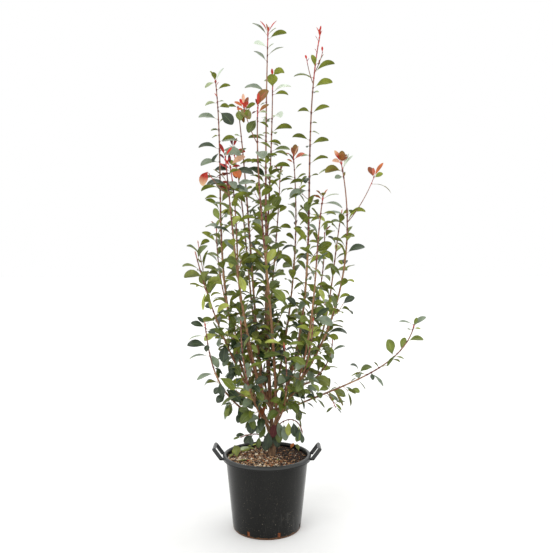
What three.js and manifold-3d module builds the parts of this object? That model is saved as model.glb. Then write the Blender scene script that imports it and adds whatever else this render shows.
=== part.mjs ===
// A photinia 'red robin' shrub, two and a half metres tall, growing in a black nursery pot.
// Millimetres, +Z up. The origin is the centre of the pot's flat underside.
//
// The plant is a short trunk, a few scaffold limbs, and long whips that rise from the limbs. The bare
// lower part of a whip is its stem; the leafy rest, with its side twigs and leaves, is its foliage.
// Every leaf stays in the space of its own whip, so that no two masses of foliage touch.
import * as THREE from "three";
import { mergeVertices } from "three/addons/utils/BufferGeometryUtils.js";
import Module from "manifold-3d";

const wasm = await Module();
wasm.setup();

// ---- Driving dimensions ----

const GAP = 0.3; // clearance between touching pieces
const FINEST = 0.05; // shorter edges are merged away

const POT = {
  height: 375,
  footRadius: 175,
  neckRadius: 213, // the wall's radius where it meets the rim
  rimRadius: 230,
  rimDepth: 22,
  lipRadius: 208, // the rim's inner edge
  wall: 3,
  floor: 6,
  footBevel: 4,
  segments: 40,
};
const SLOT = { count: 7, firstDeg: 20.9, width: 16, low: 9, high: 33, depth: 30 }; // drain slots
const HANDLE = {
  width: 108, // across both arms
  armThick: 9,
  foot: [216, 353], // the arm's corners, as distance from the pot's axis and height
  footOut: [241, 353],
  out: [279, 404],
  crown: [281, 411],
  top: [270, 418],
  topIn: [260, 411],
  footIn: [222, 362],
  gripUnder: [274, 399], // the lower corner of the grip between the arms
};
const SOIL = { edge: 353, mound: 5, lump: 4, rings: 3 }; // height at the pot's wall, and the heap on it

const TRUNK_SIDES = 10;
const LIMB_SIDES = 7;
const STEM_SIDES = 5;
const TWIG_SIDES = 3;
const TRUNK_STEPS = 6;
const LIMB_STEPS = 4;
const STEM_STEPS = 2;
const SHOOT_STEPS = 3;
const LEAFY_STEP = 230; // about the length of one straight piece of a whip's leafy part
const LINE_STEPS = 24; // straight pieces that stand for a curve when distances are measured
const TIP_RADIUS = 1.8;
const SHOOT_RADIUS = 2.6; // a side shoot's, at its foot

const LEAF = {
  length: 102, // blade of a full-grown leaf
  width: 0.56, // of its length
  thick: 2.2,
  petiole: 13,
  fold: 0.12, // how far the edges stand above the midrib, as a share of half the width
  spacing: 30, // along a whip, from leaf to leaf
  crowding: 0.35, // how much closer together they stand at its foot
  first: 25, // from the end of the bare stem to the first leaf
  turnDeg: 137.5, // round the whip, from leaf to leaf
  sunk: 0.4, // how far past the stem's axis a leaf is rooted, as a share of the stem's radius
  solidEvery: 2, // every second leaf is in the solids
};
const TWIG = { every: 8, length: 105, radius: 2.2, upTo: 0.62 }; // side twigs on a whip's lower part
const TUFT = { leaves: 3, size: 0.42, spacing: 7 }; // young upright leaves below a growing tip
const LOWEST_LEAF = 392; // leaves stay above the pot's rim
const SPACE_MARGIN = 3; // between the spaces of two whips

// The trunk: its flat foot stands in the soil, and its root flare fades upward.
const TRUNK = { foot: [24, 30, 350], bends: [[31, 28, 400]], tip: [23, 25, 452], radius: [17, 15], flare: 9 };

// The scaffold limbs: the wood they grow from and the place on it, from 0 at its foot to 1 at its tip.
// Then the bend and the tip of the limb's curve, and its radius at foot and tip.
const LIMBS = [
  { name: "limb_left", on: "trunk", at: 0.97, bends: [[6, 10, 504]], tip: [-13, 0, 562], radius: [11, 8.5] },
  { name: "limb_right", on: "trunk", at: 0.97, bends: [[46, 8, 527]], tip: [64, 0, 605], radius: [13, 10] },
  { name: "limb_back", on: "trunk", at: 0.94, bends: [[26, 78, 530]], tip: [14, 112, 640],
    radius: [11.5, 9] },
  { name: "limb_cross", on: "limb_right", at: 0.8, bends: [[-20, -24, 652]], tip: [-42, -14, 745],
    radius: [9.5, 7.5] },
  { name: "limb_fan", on: "limb_right", at: 0.93, bends: [[130, 0, 660]], tip: [203, -8, 800],
    radius: [8.5, 7] },
];

// The whips: the wood each grows from and the place on it, the two bends and the tip of its curve, its
// radius at the foot, and the share of it that is bare. Without a bare share the leaves start at the limb.
// A side shoot has its place on the whip, its tip, and the share of it that its leaves start from.
// A tuft is the size of the leaves at the tip, where it isn't the usual one: 0 leaves a bare bud there.
const WHIPS = [
  { name: "left_tall", on: "limb_left", at: 1, bends: [[-325, 0, 1095], [-205, 5, 1745]],
    tip: [-270, 20, 2320], radius: 7, bare: 0.16 },
  { name: "left_outer", on: "limb_left", at: 0.9, bends: [[-190, -55, 885], [-275, -85, 1090]],
    tip: [-357, -105, 1410], radius: 6, bare: 0.2, tuft: 0,
    shoots: [{ at: 0.66, tip: [-352, -45, 1465], leafyFrom: 0.2 }] },
  { name: "left_low", on: "limb_left", at: 0.74, bends: [[-250, -85, 665], [-280, -120, 830]],
    tip: [-303, -165, 1062], radius: 5.5, bare: 0.16, tuft: 0 },
  { name: "left_mid", on: "limb_cross", at: 0.72, bends: [[-80, 80, 1180], [-100, 125, 1720]],
    tip: [-160, 140, 2215], radius: 7, bare: 0.12 },
  { name: "left_front", on: "limb_cross", at: 0.88, bends: [[-145, -130, 1145], [-165, -195, 1540]],
    tip: [-200, -200, 1880], radius: 6.5, bare: 0.14,
    shoots: [{ at: 0.84, tip: [-275, -225, 1790], leafyFrom: 0.6 }] },
  { name: "left_inner", on: "limb_cross", at: 1, bends: [[-190, 15, 1100], [-130, 25, 1510]],
    tip: [-195, 40, 1875], radius: 6, bare: 0.13 },
  { name: "centre_front", on: "limb_right", at: 0.62, bends: [[40, -100, 1190], [-65, -145, 1680]],
    tip: [-43, -130, 2150], radius: 8, bare: 0.16,
    shoots: [{ at: 0.88, tip: [-115, -140, 2140], leafyFrom: 0.6 }] },
  { name: "centre_tall", on: "limb_back", at: 0.45, bends: [[-12, 60, 1260], [-14, 60, 1945]],
    tip: [4, 60, 2585], radius: 8, bare: 0.14 },
  { name: "centre_back", on: "limb_back", at: 1, bends: [[-45, 160, 1190], [30, 210, 1820]],
    tip: [27, 230, 2400], radius: 7, bare: 0.12 },
  { name: "right_inner", on: "limb_back", at: 0.68, bends: [[135, 160, 1045], [185, 215, 1520]],
    tip: [142, 240, 1980], radius: 6, bare: 0.15 },
  { name: "right_tall", on: "limb_right", at: 1, bends: [[310, 5, 1215], [155, 15, 1940]],
    tip: [280, 20, 2575], radius: 7, bare: 0.14,
    shoots: [
      { at: 0.86, tip: [208, 20, 2425], leafyFrom: 0.6 },
      { at: 0.89, tip: [291, 35, 2470], leafyFrom: 0.9 },
    ] },
  { name: "right_front", on: "limb_fan", at: 0.45, bends: [[260, -125, 1005], [230, -195, 1415]],
    tip: [275, -210, 1680], radius: 6, bare: 0.15 },
  { name: "right_mid", on: "limb_fan", at: 0.85, bends: [[350, 105, 990], [347, 138, 1340]],
    tip: [405, 150, 1645], radius: 5.5, bare: 0.16, tuft: 0 },
  { name: "right_outer", on: "limb_fan", at: 1, bends: [[427, -25, 1160], [446, -35, 1565]],
    tip: [380, -40, 1885], radius: 6, bare: 0.14,
    shoots: [{ at: 0.72, tip: [547, -60, 1802], leafyFrom: 0.8 }] },
  { name: "right_low", on: "limb_right", at: 0.84, bends: [[310, -25, 715], [698, -50, 798]],
    tip: [751, -60, 1047], radius: 5, bare: 0.2, tuft: 0.75,
    shoots: [{ at: 0.32, tip: [345, -100, 640], leafyFrom: 0.3 }] },
  { name: "back_mid", on: "limb_back", at: 0.8, bends: [[-122, 200, 1055], [-100, 277, 1565]],
    tip: [-198, 290, 2020], radius: 6.5, bare: 0.13 },
  { name: "back_left", on: "limb_back", at: 0.88, bends: [[-150, 190, 850], [-290, 270, 1180]],
    tip: [-290, 275, 1560], radius: 6, bare: 0.15 },
  { name: "back_tall", on: "limb_back", at: 0.96, bends: [[-20, 240, 1000], [55, 335, 1400]],
    tip: [70, 340, 1880], radius: 6.5, bare: 0.14 },
  { name: "back_right", on: "limb_back", at: 0.92, bends: [[190, 220, 840], [330, 320, 1120]],
    tip: [325, 320, 1540], radius: 6, bare: 0.17 },
  { name: "front_low", on: "limb_right", at: 0.45, bends: [[124, -115, 654], [98, -213, 867]],
    tip: [86, -230, 966], radius: 4.5, tuft: 0 },
  { name: "front_left", on: "limb_left", at: 0.5, bends: [[-60, -110, 640], [-120, -260, 800]],
    tip: [-120, -270, 1085], radius: 4.5 },
  { name: "front_right", on: "limb_fan", at: 0.2, bends: [[150, -100, 730], [215, -250, 850]],
    tip: [225, -260, 1100], radius: 4.5 },
  { name: "side_right", on: "limb_fan", at: 0.62, bends: [[240, 30, 740], [340, 45, 800]],
    tip: [345, 45, 960], radius: 4, tuft: 0 },
  { name: "back_low_left", on: "limb_back", at: 0.3, bends: [[-60, 150, 600], [-145, 290, 760]],
    tip: [-150, 300, 1010], radius: 4.5 },
  { name: "back_low_right", on: "limb_back", at: 0.55, bends: [[100, 180, 680], [180, 310, 800]],
    tip: [185, 320, 1060], radius: 4.5 },
  { name: "foot_left", on: "trunk", at: 0.78, bends: [[-20, 0, 480], [-80, -40, 495]],
    tip: [-128, -70, 478], radius: 3, tuft: 0 },
  { name: "foot_right", on: "limb_right", at: 0.25, bends: [[80, 0, 560], [160, -40, 590]],
    tip: [180, -75, 505], radius: 3, tuft: 0 },
];

const COLOURS = { pot: 0x2b2b2a, soil: 0x7a5a3e, bark: 0x7d5137, leaf: 0x55702f };
const ROUGHNESS = { pot: 0.55, soil: 0.95, bark: 0.8, leaf: 0.6 };

// ---- Solids ----

// A closed solid from points and triangles.
function solid(points, triangles) {
  const mesh = new wasm.Mesh({
    numProp: 3,
    vertProperties: Float32Array.from(points.flatMap((p) => [p.x, p.y, p.z])),
    triVerts: Uint32Array.from(triangles.flat()),
  });
  return new wasm.Manifold(mesh);
}

// A three.js geometry as a solid.
function solidOf(geometry) {
  const bare = geometry.clone();
  bare.deleteAttribute("normal");
  bare.deleteAttribute("uv");
  const merged = mergeVertices(bare, 1e-3);
  const mesh = new wasm.Mesh({
    numProp: 3,
    vertProperties: merged.attributes.position.array,
    triVerts: Uint32Array.from(merged.index.array),
  });
  return new wasm.Manifold(mesh);
}

// The geometry that a profile of [radius, height] points sweeps round the Z axis.
function turned(profile) {
  const points = profile.map(([radius, height]) => new THREE.Vector2(radius, height));
  return new THREE.LatheGeometry(points, POT.segments).rotateX(Math.PI / 2);
}

// A plate of the given [distance, height] outline, which stands across the Y axis.
function plate(outline, thickness, middle) {
  const shape = new THREE.Shape(outline.map(([x, z]) => new THREE.Vector2(x, z)));
  return solidOf(
    new THREE.ExtrudeGeometry(shape, { depth: thickness, bevelEnabled: false })
      .rotateX(Math.PI / 2)
      .translate(0, middle + thickness / 2, 0),
  );
}

// A cut solid without its loose scraps and its slivers.
function largestBody(cut) {
  return cut.decompose().reduce((a, b) => (a.volume() > b.volume() ? a : b)).simplify(FINEST);
}

// ---- Curves ----

// A place on a curve is its share of the curve's length, from 0 at the foot to 1 at the tip.

const vector = (xyz) => new THREE.Vector3(...xyz);

const taper = (from, to) => (u) => from + (to - from) * u;

// A curve through its first and last point, drawn to the one or two points between them.
function bent(...points) {
  const curve =
    points.length === 3 ? new THREE.QuadraticBezierCurve3(...points) : new THREE.CubicBezierCurve3(...points);
  const run = points.at(-1).clone().sub(points[0]).normalize();
  curve.reference = Math.abs(run.y) > 0.7 ? new THREE.Vector3(1, 0, 0) : new THREE.Vector3(0, 1, 0);
  return curve;
}

// The tangent of a curve at a place, and two directions across it.
function frameAt(curve, u) {
  const tangent = curve.getTangentAt(u);
  const across = curve.reference.clone().addScaledVector(tangent, -tangent.dot(curve.reference)).normalize();
  const side = new THREE.Vector3().crossVectors(tangent, across);
  return { tangent, across, side };
}

const outward = ({ across, side }, turn) =>
  across.clone().multiplyScalar(Math.cos(turn)).addScaledVector(side, Math.sin(turn));

// A tapering tube between two places on a curve, with flat ends, and swollen all over by a clearance.
function tube(curve, from, to, radiusAt, sides, steps, swell = 0) {
  const points = [];
  const triangles = [];
  for (let i = 0; i <= steps; i++) {
    const u = THREE.MathUtils.lerp(from, to, i / steps);
    const frame = frameAt(curve, u);
    const beyond = i === 0 ? -swell : i === steps ? swell : 0;
    const middle = curve.getPointAt(u).addScaledVector(frame.tangent, beyond);
    for (let j = 0; j < sides; j++) {
      const offset = outward(frame, (2 * Math.PI * j) / sides);
      points.push(middle.clone().addScaledVector(offset, radiusAt(u) + swell));
    }
  }
  for (let i = 0; i < steps; i++)
    for (let j = 0; j < sides; j++) {
      const a = i * sides + j;
      const b = i * sides + ((j + 1) % sides);
      triangles.push([a, b, b + sides], [a, b + sides, a + sides]);
    }
  const last = steps * sides;
  for (let j = 1; j < sides - 1; j++) triangles.push([0, j + 1, j], [last, last + j, last + j + 1]);
  return solid(points, triangles);
}

// ---- The growth rule ----

// A number from 0 to 1 that depends only on its three keys.
function chance(a, b, c) {
  const wave = Math.sin(a * 127.1 + b * 311.7 + c * 74.7) * 43758.5453;
  return wave - Math.floor(wave);
}

// Every piece of wood by name: its curve, its radius along it, the lines that stand for its bare part
// and for its leafy part, and for a whip its side shoots.
const wood = new Map();

function addWood(spec, foot, radiusAt, bareTo) {
  const curve = bent(foot, ...spec.bends.map(vector), vector(spec.tip));
  const length = curve.getLength();
  const shoots = (spec.shoots ?? []).map(({ at, tip, leafyFrom }) => {
    const start = curve.getPointAt(at);
    const end = vector(tip);
    const bend = start.clone().lerp(end, 0.6).setZ(start.z + (end.z - start.z) * 0.4);
    return { curve: bent(start, bend, end), leafyFrom };
  });
  const bareLine = bareTo > 0 ? lineAlong(curve, 0, bareTo) : null;
  const leafyLines = shoots.map((shoot) => lineAlong(shoot.curve, 0, 1));
  if (bareTo < 1) leafyLines.push(lineAlong(curve, bareTo, 1));
  const piece = { ...spec, curve, length, radiusAt, bareTo, shoots, bareLine, leafyLines };
  wood.set(spec.name, piece);
  return piece;
}

// Points along a curve, for measuring how near a leaf comes to it.
function lineAlong(curve, from, to) {
  return Array.from({ length: LINE_STEPS + 1 }, (_, i) =>
    curve.getPointAt(THREE.MathUtils.lerp(from, to, i / LINE_STEPS)));
}

function distanceTo(line, point) {
  const edge = new THREE.Line3();
  const nearest = new THREE.Vector3();
  let least = Infinity;
  for (let i = 1; i < line.length; i++) {
    edge.set(line[i - 1], line[i]).closestPointToPoint(point, true, nearest);
    least = Math.min(least, nearest.distanceTo(point));
  }
  return least;
}

// Whether every point is in the whip's own space: above the pot, clear of all bare wood, and nearer to
// this whip than to the leafy part of any other.
function inOwnSpace(points, whip) {
  return points.every((point) => {
    if (point.z < LOWEST_LEAF) return false;
    const own = Math.min(...whip.leafyLines.map((line) => distanceTo(line, point)));
    for (const other of wood.values()) {
      const clear = other.radiusAt(0) + SPACE_MARGIN;
      if (other.bareLine && distanceTo(other.bareLine, point) < clear) return false;
      if (other === whip) continue;
      if (other.leafyLines.some((line) => distanceTo(line, point) < own + SPACE_MARGIN)) return false;
    }
    return true;
  });
}

// A leaf's main points: it leaves the stem outward and up, arches over, and hangs by its weight.
// It is rooted a little past the stem's axis.
function leafPoints(place, frame, depth, { turn, size, lift, droop, roll }) {
  const out = outward(frame, turn);
  const down = new THREE.Vector3(0, 0, -1);
  const petiole = out.clone().multiplyScalar(Math.cos(lift)).addScaledVector(frame.tangent, Math.sin(lift));
  const near = petiole.clone().addScaledVector(down, droop * 0.35).normalize();
  const far = near.clone().addScaledVector(down, droop).normalize();
  const half = (LEAF.length * size) / 2;
  const root = place.clone().addScaledVector(petiole, -depth);
  const middle = place.clone().addScaledVector(petiole, LEAF.petiole).addScaledVector(near, half);
  const tip = middle.clone().addScaledVector(far, half);
  const across = new THREE.Vector3().crossVectors(frame.tangent, out).applyAxisAngle(near, roll);
  const normal = new THREE.Vector3().crossVectors(near, across).normalize();
  const [left, right] = [half, -half].map((reach) =>
    middle
      .clone()
      .addScaledVector(across, reach * LEAF.width)
      .addScaledVector(normal, half * LEAF.width * LEAF.fold),
  );
  return { root, middle, tip, left, right, normal };
}

// The flattened eight-faced solid of a leaf.
function leafSolid({ root, middle, tip, left, right, normal }) {
  const [top, under] = [0.5, -0.5].map((share) => middle.clone().addScaledVector(normal, LEAF.thick * share));
  const rim = [root, left, tip, right];
  const faces = rim.flatMap((_, i) => [[i, 4, (i + 1) % 4], [(i + 1) % 4, 5, i]]);
  return solid([...rim, top, under], faces);
}

// One leaf, if there is room for it: where it would leave its space it is turned, or is smaller, or is
// left out.
const TRIES = [[0, 1], [0.8, 1], [-0.8, 1], [0, 0.72], [1.6, 0.72], [-1.6, 0.72]];
function addLeaf(pieces, whip, place, frame, depth, habit) {
  for (const [turn, size] of TRIES) {
    const tried = { ...habit, turn: habit.turn + turn, size: habit.size * size };
    const leaf = leafPoints(place, frame, depth, tried);
    const { root, middle, tip, left, right } = leaf;
    const between = [[root, left], [root, right], [left, tip], [right, tip], [middle, tip]];
    const halfway = between.map(([a, b]) => a.clone().lerp(b, 0.5));
    if (!inOwnSpace([middle, tip, left, right, ...halfway], whip)) continue;
    pieces.push(leafSolid(leaf));
    return;
  }
}

// Leaves between two places on a curve, closer together near its foot. A key seeds their differences.
function growLeaves(pieces, whip, key, curve, from, to, radiusAt, every) {
  const count = Math.round(((to - from) * curve.getLength()) / LEAF.spacing);
  for (let i = 0; i < count; i += every) {
    const draw = (salt) => chance(key, i, salt);
    const share = (i + 0.3 + 0.4 * draw(1)) / count;
    const u = from + (to - from) * share * (1 - LEAF.crowding * (1 - share));
    addLeaf(pieces, whip, curve.getPointAt(u), frameAt(curve, u), radiusAt(u) * LEAF.sunk, {
      turn: THREE.MathUtils.degToRad(i * LEAF.turnDeg + 40 * draw(2)) + key,
      size: (1.05 - 0.22 * u) * (0.8 + 0.4 * draw(3)),
      lift: 0.45 + 0.5 * draw(4) + 0.2 * u,
      droop: 0.25 + 0.4 * draw(5) + 0.4 * (1 - u),
      roll: 1.6 * (draw(6) - 0.5),
    });
  }
}

// The young upright leaves below a growing tip.
function growTuft(pieces, whip, key, curve, size) {
  for (let i = 0; i < TUFT.leaves; i++) {
    const u = 1 - (TUFT.spacing * (i + 0.5)) / curve.getLength();
    addLeaf(pieces, whip, curve.getPointAt(u), frameAt(curve, u), TIP_RADIUS * LEAF.sunk, {
      turn: (2 * Math.PI * (i + 0.5 * chance(key, i, 7))) / TUFT.leaves,
      size,
      lift: 1.2 - 0.2 * i + 0.2 * chance(key, i, 8),
      droop: 0.1,
      roll: 0,
    });
  }
}

// A side twig: it leaves the whip outward, turns up, and carries leaves of its own.
function growTwig(pieces, whip, key, at) {
  const foot = whip.curve.getPointAt(at);
  const frame = frameAt(whip.curve, at);
  const out = outward(frame, 2.4 * key);
  const length = TWIG.length * (0.75 + 0.5 * chance(key, 0, 9));
  const bend = foot.clone().addScaledVector(out, length * 0.5).addScaledVector(frame.tangent, length * 0.2);
  const tip = foot.clone().addScaledVector(out, length * 0.65).addScaledVector(frame.tangent, length * 0.75);
  const curve = bent(foot, bend, tip);
  if (!inOwnSpace([0.3, 0.5, 0.7, 0.85, 1].map((u) => curve.getPointAt(u)), whip)) return;
  const radiusAt = taper(TWIG.radius, TIP_RADIUS / 2);
  pieces.push(tube(curve, 0, 1, radiusAt, TWIG_SIDES, 2));
  growLeaves(pieces, whip, key, curve, 0.35, 1, radiusAt, 1);
}

// The foliage of a whip: its leafy stem, side shoots and side twigs, with their leaves, as one solid.
function growFoliage(whip, key) {
  const { curve, length, bareTo, radiusAt, shoots, tuft = TUFT.size } = whip;
  const every = LEAF.solidEvery;
  const start = bareTo > 0 ? bareTo + (1.2 * GAP) / length : 0;
  const steps = Math.round((length * (1 - start)) / LEAFY_STEP) + 2;
  const pieces = [tube(curve, start, 1, radiusAt, TWIG_SIDES, steps)];
  growLeaves(pieces, whip, key, curve, start + LEAF.first / length, 0.985, radiusAt, every);
  if (tuft > 0) growTuft(pieces, whip, key, curve, tuft);
  shoots.forEach((shoot, k) => {
    const shootKey = key + 40 + 10 * k;
    const shootRadius = taper(SHOOT_RADIUS, TIP_RADIUS);
    pieces.push(tube(shoot.curve, 0, 1, shootRadius, TWIG_SIDES, SHOOT_STEPS));
    growLeaves(pieces, whip, shootKey, shoot.curve, shoot.leafyFrom, 0.97, shootRadius, every);
    if (tuft > 0) growTuft(pieces, whip, shootKey, shoot.curve, tuft);
  });
  const twigs = Math.floor(((TWIG.upTo - start) * length) / (LEAF.spacing * TWIG.every));
  for (let k = 0; k < twigs; k += every)
    growTwig(pieces, whip, key + 100 + 30 * k, start + ((TWIG.upTo - start) * (k + 0.6)) / twigs);
  return wasm.Manifold.union(pieces);
}

// ---- The pot ----

const neckHeight = POT.height - POT.rimDepth;

// The radius of the pot's inner wall at a height below the rim.
function insideRadius(height) {
  const share = (height - POT.floor) / (neckHeight - POT.floor);
  return POT.footRadius + (POT.neckRadius - POT.footRadius) * share - POT.wall;
}

// The pot's outer shape, filled, and swollen by a clearance.
function potShape(swell) {
  const { height, footRadius, neckRadius, rimRadius, footBevel } = POT;
  return solidOf(turned([
    [0, -swell],
    [footRadius - footBevel + swell, -swell],
    [footRadius + swell, footBevel],
    [neckRadius + swell, neckHeight - swell],
    [rimRadius - 2 + swell, neckHeight - swell],
    [rimRadius + swell, neckHeight + 3],
    [rimRadius + swell, height - 9],
    [rimRadius - 6 + swell, height - 2 + swell],
    [rimRadius - 12, height + swell],
    [0, height + swell],
  ]));
}

function makePot() {
  const { height, lipRadius, floor, footRadius } = POT;
  const room = turned([
    [0, floor],
    [insideRadius(floor), floor],
    [insideRadius(neckHeight), neckHeight],
    [lipRadius, height - 8],
    [lipRadius + 6, height + 1],
    [0, height + 1],
  ]);
  let pot = potShape(0).subtract(solidOf(room));
  for (let k = 0; k < SLOT.count; k++) {
    const angle = THREE.MathUtils.degToRad(SLOT.firstDeg - 90 + (360 * k) / SLOT.count);
    const slot = new THREE.BoxGeometry(SLOT.depth, SLOT.width, SLOT.high - SLOT.low)
      .translate(footRadius, 0, (SLOT.high + SLOT.low) / 2)
      .rotateZ(angle);
    pot = pot.subtract(solidOf(slot));
  }
  return pot;
}

// A handle on the +X side: two arms that rise from beside the rim, and a grip across their tops.
function makeHandle() {
  const { width, armThick, foot, footOut, out, crown, top, topIn, footIn, gripUnder } = HANDLE;
  const armPlace = (width - armThick) / 2;
  const arm = [foot, footOut, out, crown, top, topIn, footIn];
  const parts = [
    plate(arm, armThick, armPlace),
    plate(arm, armThick, -armPlace),
    plate([topIn, gripUnder, out, crown, top], width, 0),
  ];
  return wasm.Manifold.union(parts).subtract(potShape(GAP));
}

// The root ball: it fills the pot and is heaped a little round the trunk, with a lumpy top.
function makeSoil() {
  const { edge, mound, lump, rings } = SOIL;
  const rimOfSoil = insideRadius(edge) - GAP;
  const profile = [
    [0, POT.floor + GAP],
    [insideRadius(POT.floor) - GAP, POT.floor + GAP],
    [rimOfSoil, edge],
  ];
  for (let k = rings - 1; k >= 0; k--) {
    const share = k / rings;
    profile.push([rimOfSoil * share, edge + mound * (1 - share * share)]);
  }
  const geometry = turned(profile);
  const place = geometry.attributes.position;
  for (let i = 0; i < place.count; i++) {
    const [x, y, z] = [place.getX(i), place.getY(i), place.getZ(i)];
    if (z > edge + 1) place.setZ(i, z + lump * (chance(Math.round(x), Math.round(y), 5) - 0.5));
  }
  return solidOf(geometry);
}

// ---- Assembly ----

const plant = new THREE.Group();
const swollenWood = []; // the wood so far with its clearance, which what grows later is cut by

function addNode(name, body, kind) {
  const { numProp, vertProperties, triVerts } = body.getMesh();
  const geometry = new THREE.BufferGeometry()
    .setAttribute("position", new THREE.BufferAttribute(Float32Array.from(vertProperties), numProp))
    .setIndex(new THREE.BufferAttribute(Uint32Array.from(triVerts), 1));
  geometry.computeVertexNormals();
  const finish = { color: COLOURS[kind], roughness: ROUGHNESS[kind], metalness: 0 };
  const mesh = new THREE.Mesh(geometry, new THREE.MeshStandardMaterial(finish));
  mesh.name = name;
  plant.add(mesh);
}

const clearOfWood = (body) => largestBody(swollenWood.reduce((rest, other) => rest.subtract(other), body));

// The bare part of a piece of wood, cut clear of the wood it grows from and of its neighbours.
function addWoodNode(name, { curve, radiusAt, bareTo }, sides, steps) {
  addNode(name, clearOfWood(tube(curve, 0, bareTo, radiusAt, sides, steps)), "bark");
  swollenWood.push(tube(curve, 0, bareTo, radiusAt, sides, steps, GAP));
}

addNode("pot", makePot(), "pot");
addNode("handle_right", makeHandle(), "pot");
addNode("handle_left", makeHandle().rotate([0, 0, 180]), "pot");

const trunkTaper = taper(...TRUNK.radius);
const trunkRadius = (u) => trunkTaper(u) + TRUNK.flare * Math.exp(-7 * u);
const trunk = addWood({ name: "trunk", ...TRUNK }, vector(TRUNK.foot), trunkRadius, 1);
const socket = tube(trunk.curve, 0, 1, trunkRadius, TRUNK_SIDES, TRUNK_STEPS, GAP);
addNode("soil", makeSoil().subtract(socket), "soil");
addWoodNode("trunk", trunk, TRUNK_SIDES, TRUNK_STEPS);

const footOf = ({ on, at }) => wood.get(on).curve.getPointAt(at);
for (const spec of LIMBS)
  addWoodNode(spec.name, addWood(spec, footOf(spec), taper(...spec.radius), 1), LIMB_SIDES, LIMB_STEPS);

const whips = WHIPS.map((spec) =>
  addWood(spec, footOf(spec), taper(spec.radius, TIP_RADIUS), spec.bare ?? 0));
for (const whip of whips)
  if (whip.bareTo > 0) addWoodNode("stem_" + whip.name, whip, STEM_SIDES, STEM_STEPS);
whips.forEach((whip, i) => addNode("foliage_" + whip.name, clearOfWood(growFoliage(whip, i + 1)), "leaf"));

export default plant;
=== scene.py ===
"""The looks of a potted photinia 'red robin', two and a half metres tall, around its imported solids.

Lengths are in millimetres until a mesh is made, +Z is up, and the origin is the centre of the pot's flat
underside. The shrub grows by the rule of its solids: limbs on a short trunk, long whips on the limbs, and
leaves and side twigs on the whips. Here every leaf of the rule grows, and short spurs fill the crown.
"""
import math
from functools import partial
from types import SimpleNamespace

import bmesh
import bpy
import numpy as np
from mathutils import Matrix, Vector, noise


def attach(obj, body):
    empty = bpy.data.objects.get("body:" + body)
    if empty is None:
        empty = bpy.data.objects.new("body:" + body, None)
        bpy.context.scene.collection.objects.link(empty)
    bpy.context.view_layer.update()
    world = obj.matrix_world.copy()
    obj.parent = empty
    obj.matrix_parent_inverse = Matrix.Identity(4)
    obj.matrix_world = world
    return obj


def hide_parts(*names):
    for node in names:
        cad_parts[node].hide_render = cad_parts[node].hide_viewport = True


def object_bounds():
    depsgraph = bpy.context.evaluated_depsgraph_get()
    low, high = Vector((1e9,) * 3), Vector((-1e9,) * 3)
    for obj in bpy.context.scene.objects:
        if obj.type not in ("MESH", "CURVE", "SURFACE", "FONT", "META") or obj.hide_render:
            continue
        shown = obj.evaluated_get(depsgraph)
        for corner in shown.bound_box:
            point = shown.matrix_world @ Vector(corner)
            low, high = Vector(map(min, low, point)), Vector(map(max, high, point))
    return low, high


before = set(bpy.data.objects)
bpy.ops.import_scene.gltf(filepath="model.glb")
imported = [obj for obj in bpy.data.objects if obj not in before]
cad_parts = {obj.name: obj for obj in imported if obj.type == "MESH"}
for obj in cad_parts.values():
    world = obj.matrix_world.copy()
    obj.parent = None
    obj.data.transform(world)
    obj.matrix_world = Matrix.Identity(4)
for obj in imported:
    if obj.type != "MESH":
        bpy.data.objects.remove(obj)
cad_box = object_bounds()

MM = 0.001

# ---- Sizes of the plant ----

TIP_RADIUS, SHOOT_RADIUS = 1.8, 2.6  # at the tip of a whip, and at the foot of its side shoots
TIP_SWELLING = 0.9  # how much thicker a young shoot is than its solid
YOUNG_RADIUS = 3.2  # thinner wood has the young bark

BLADE = 92  # a full-grown leaf without its stalk
BLADE_WIDTH = 0.54  # of its length
BLADE_THICK = 0.8
STALK, STALK_RADIUS = 17, 1.0  # a leaf's stalk, from the whip to the blade
LEAF_SPACING = 31  # along a whip, from leaf to leaf
LEAF_TURN = math.radians(137.5)  # round a whip, from leaf to leaf
CROWDING = 0.35  # how much closer together the leaves stand at a whip's foot
FIRST_LEAF = 25  # from the end of a whip's bare part
LEAFY_TO, SHOOT_LEAFY_TO = 0.985, 0.97  # of the length of a whip, and of a side shoot
BELOW_SET = 20  # from the lowest leaf that is set down to the highest one of the rule
LOWEST_LEAF = 445

# Side twigs and spurs. A twig's end is how far out from the whip and how far along it, of its own length.
TWIG_LENGTH, TWIG_RADIUS, TWIG_END, TWIG_LEAFY_FROM = 105, 2.2, (0.65, 0.75), 0.35
TWIG_EVERY = 8  # leaves of the whip
SPUR_LENGTH, SPUR_RADIUS, SPUR_TIP_RADIUS, SPUR_END = 42, 1.5, 0.9, (0.8, 0.45)
SPUR_LEAVES = [0.55, 0.75, 0.95]  # their places
SPUR_SPACING, LOW_SPUR_SPACING = 85, 72  # on the leafy and on the bare part of a whip
HIGHEST_SPUR = 1000
TWIGS_TO = 0.62  # of a whip's length

OLD_WOOD_TOP, OLD_WOOD_REACH = 600, 75  # the wood around the trunk's fork is too old to bear leaves
SPACE_MARGIN = 3  # between a leaf and bare wood
WOOD_CLEARANCE = 6  # between a leaf and the middle of another whip's leafy stem
OVERHANG = 8  # how far a leaf of the rule may pass the solids' box

# Each piece of wood has the curve's foot, or the wood that it grows from and the place on it, from 0 at its
# foot to 1 at its tip. Then the bends and the tip of its curve, and its radius.
TRUNK = dict(name="trunk", foot=(24, 30, 350), bends=[(31, 28, 400)], tip=(23, 25, 452), radius=(17, 15),
             flare=9)

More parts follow.
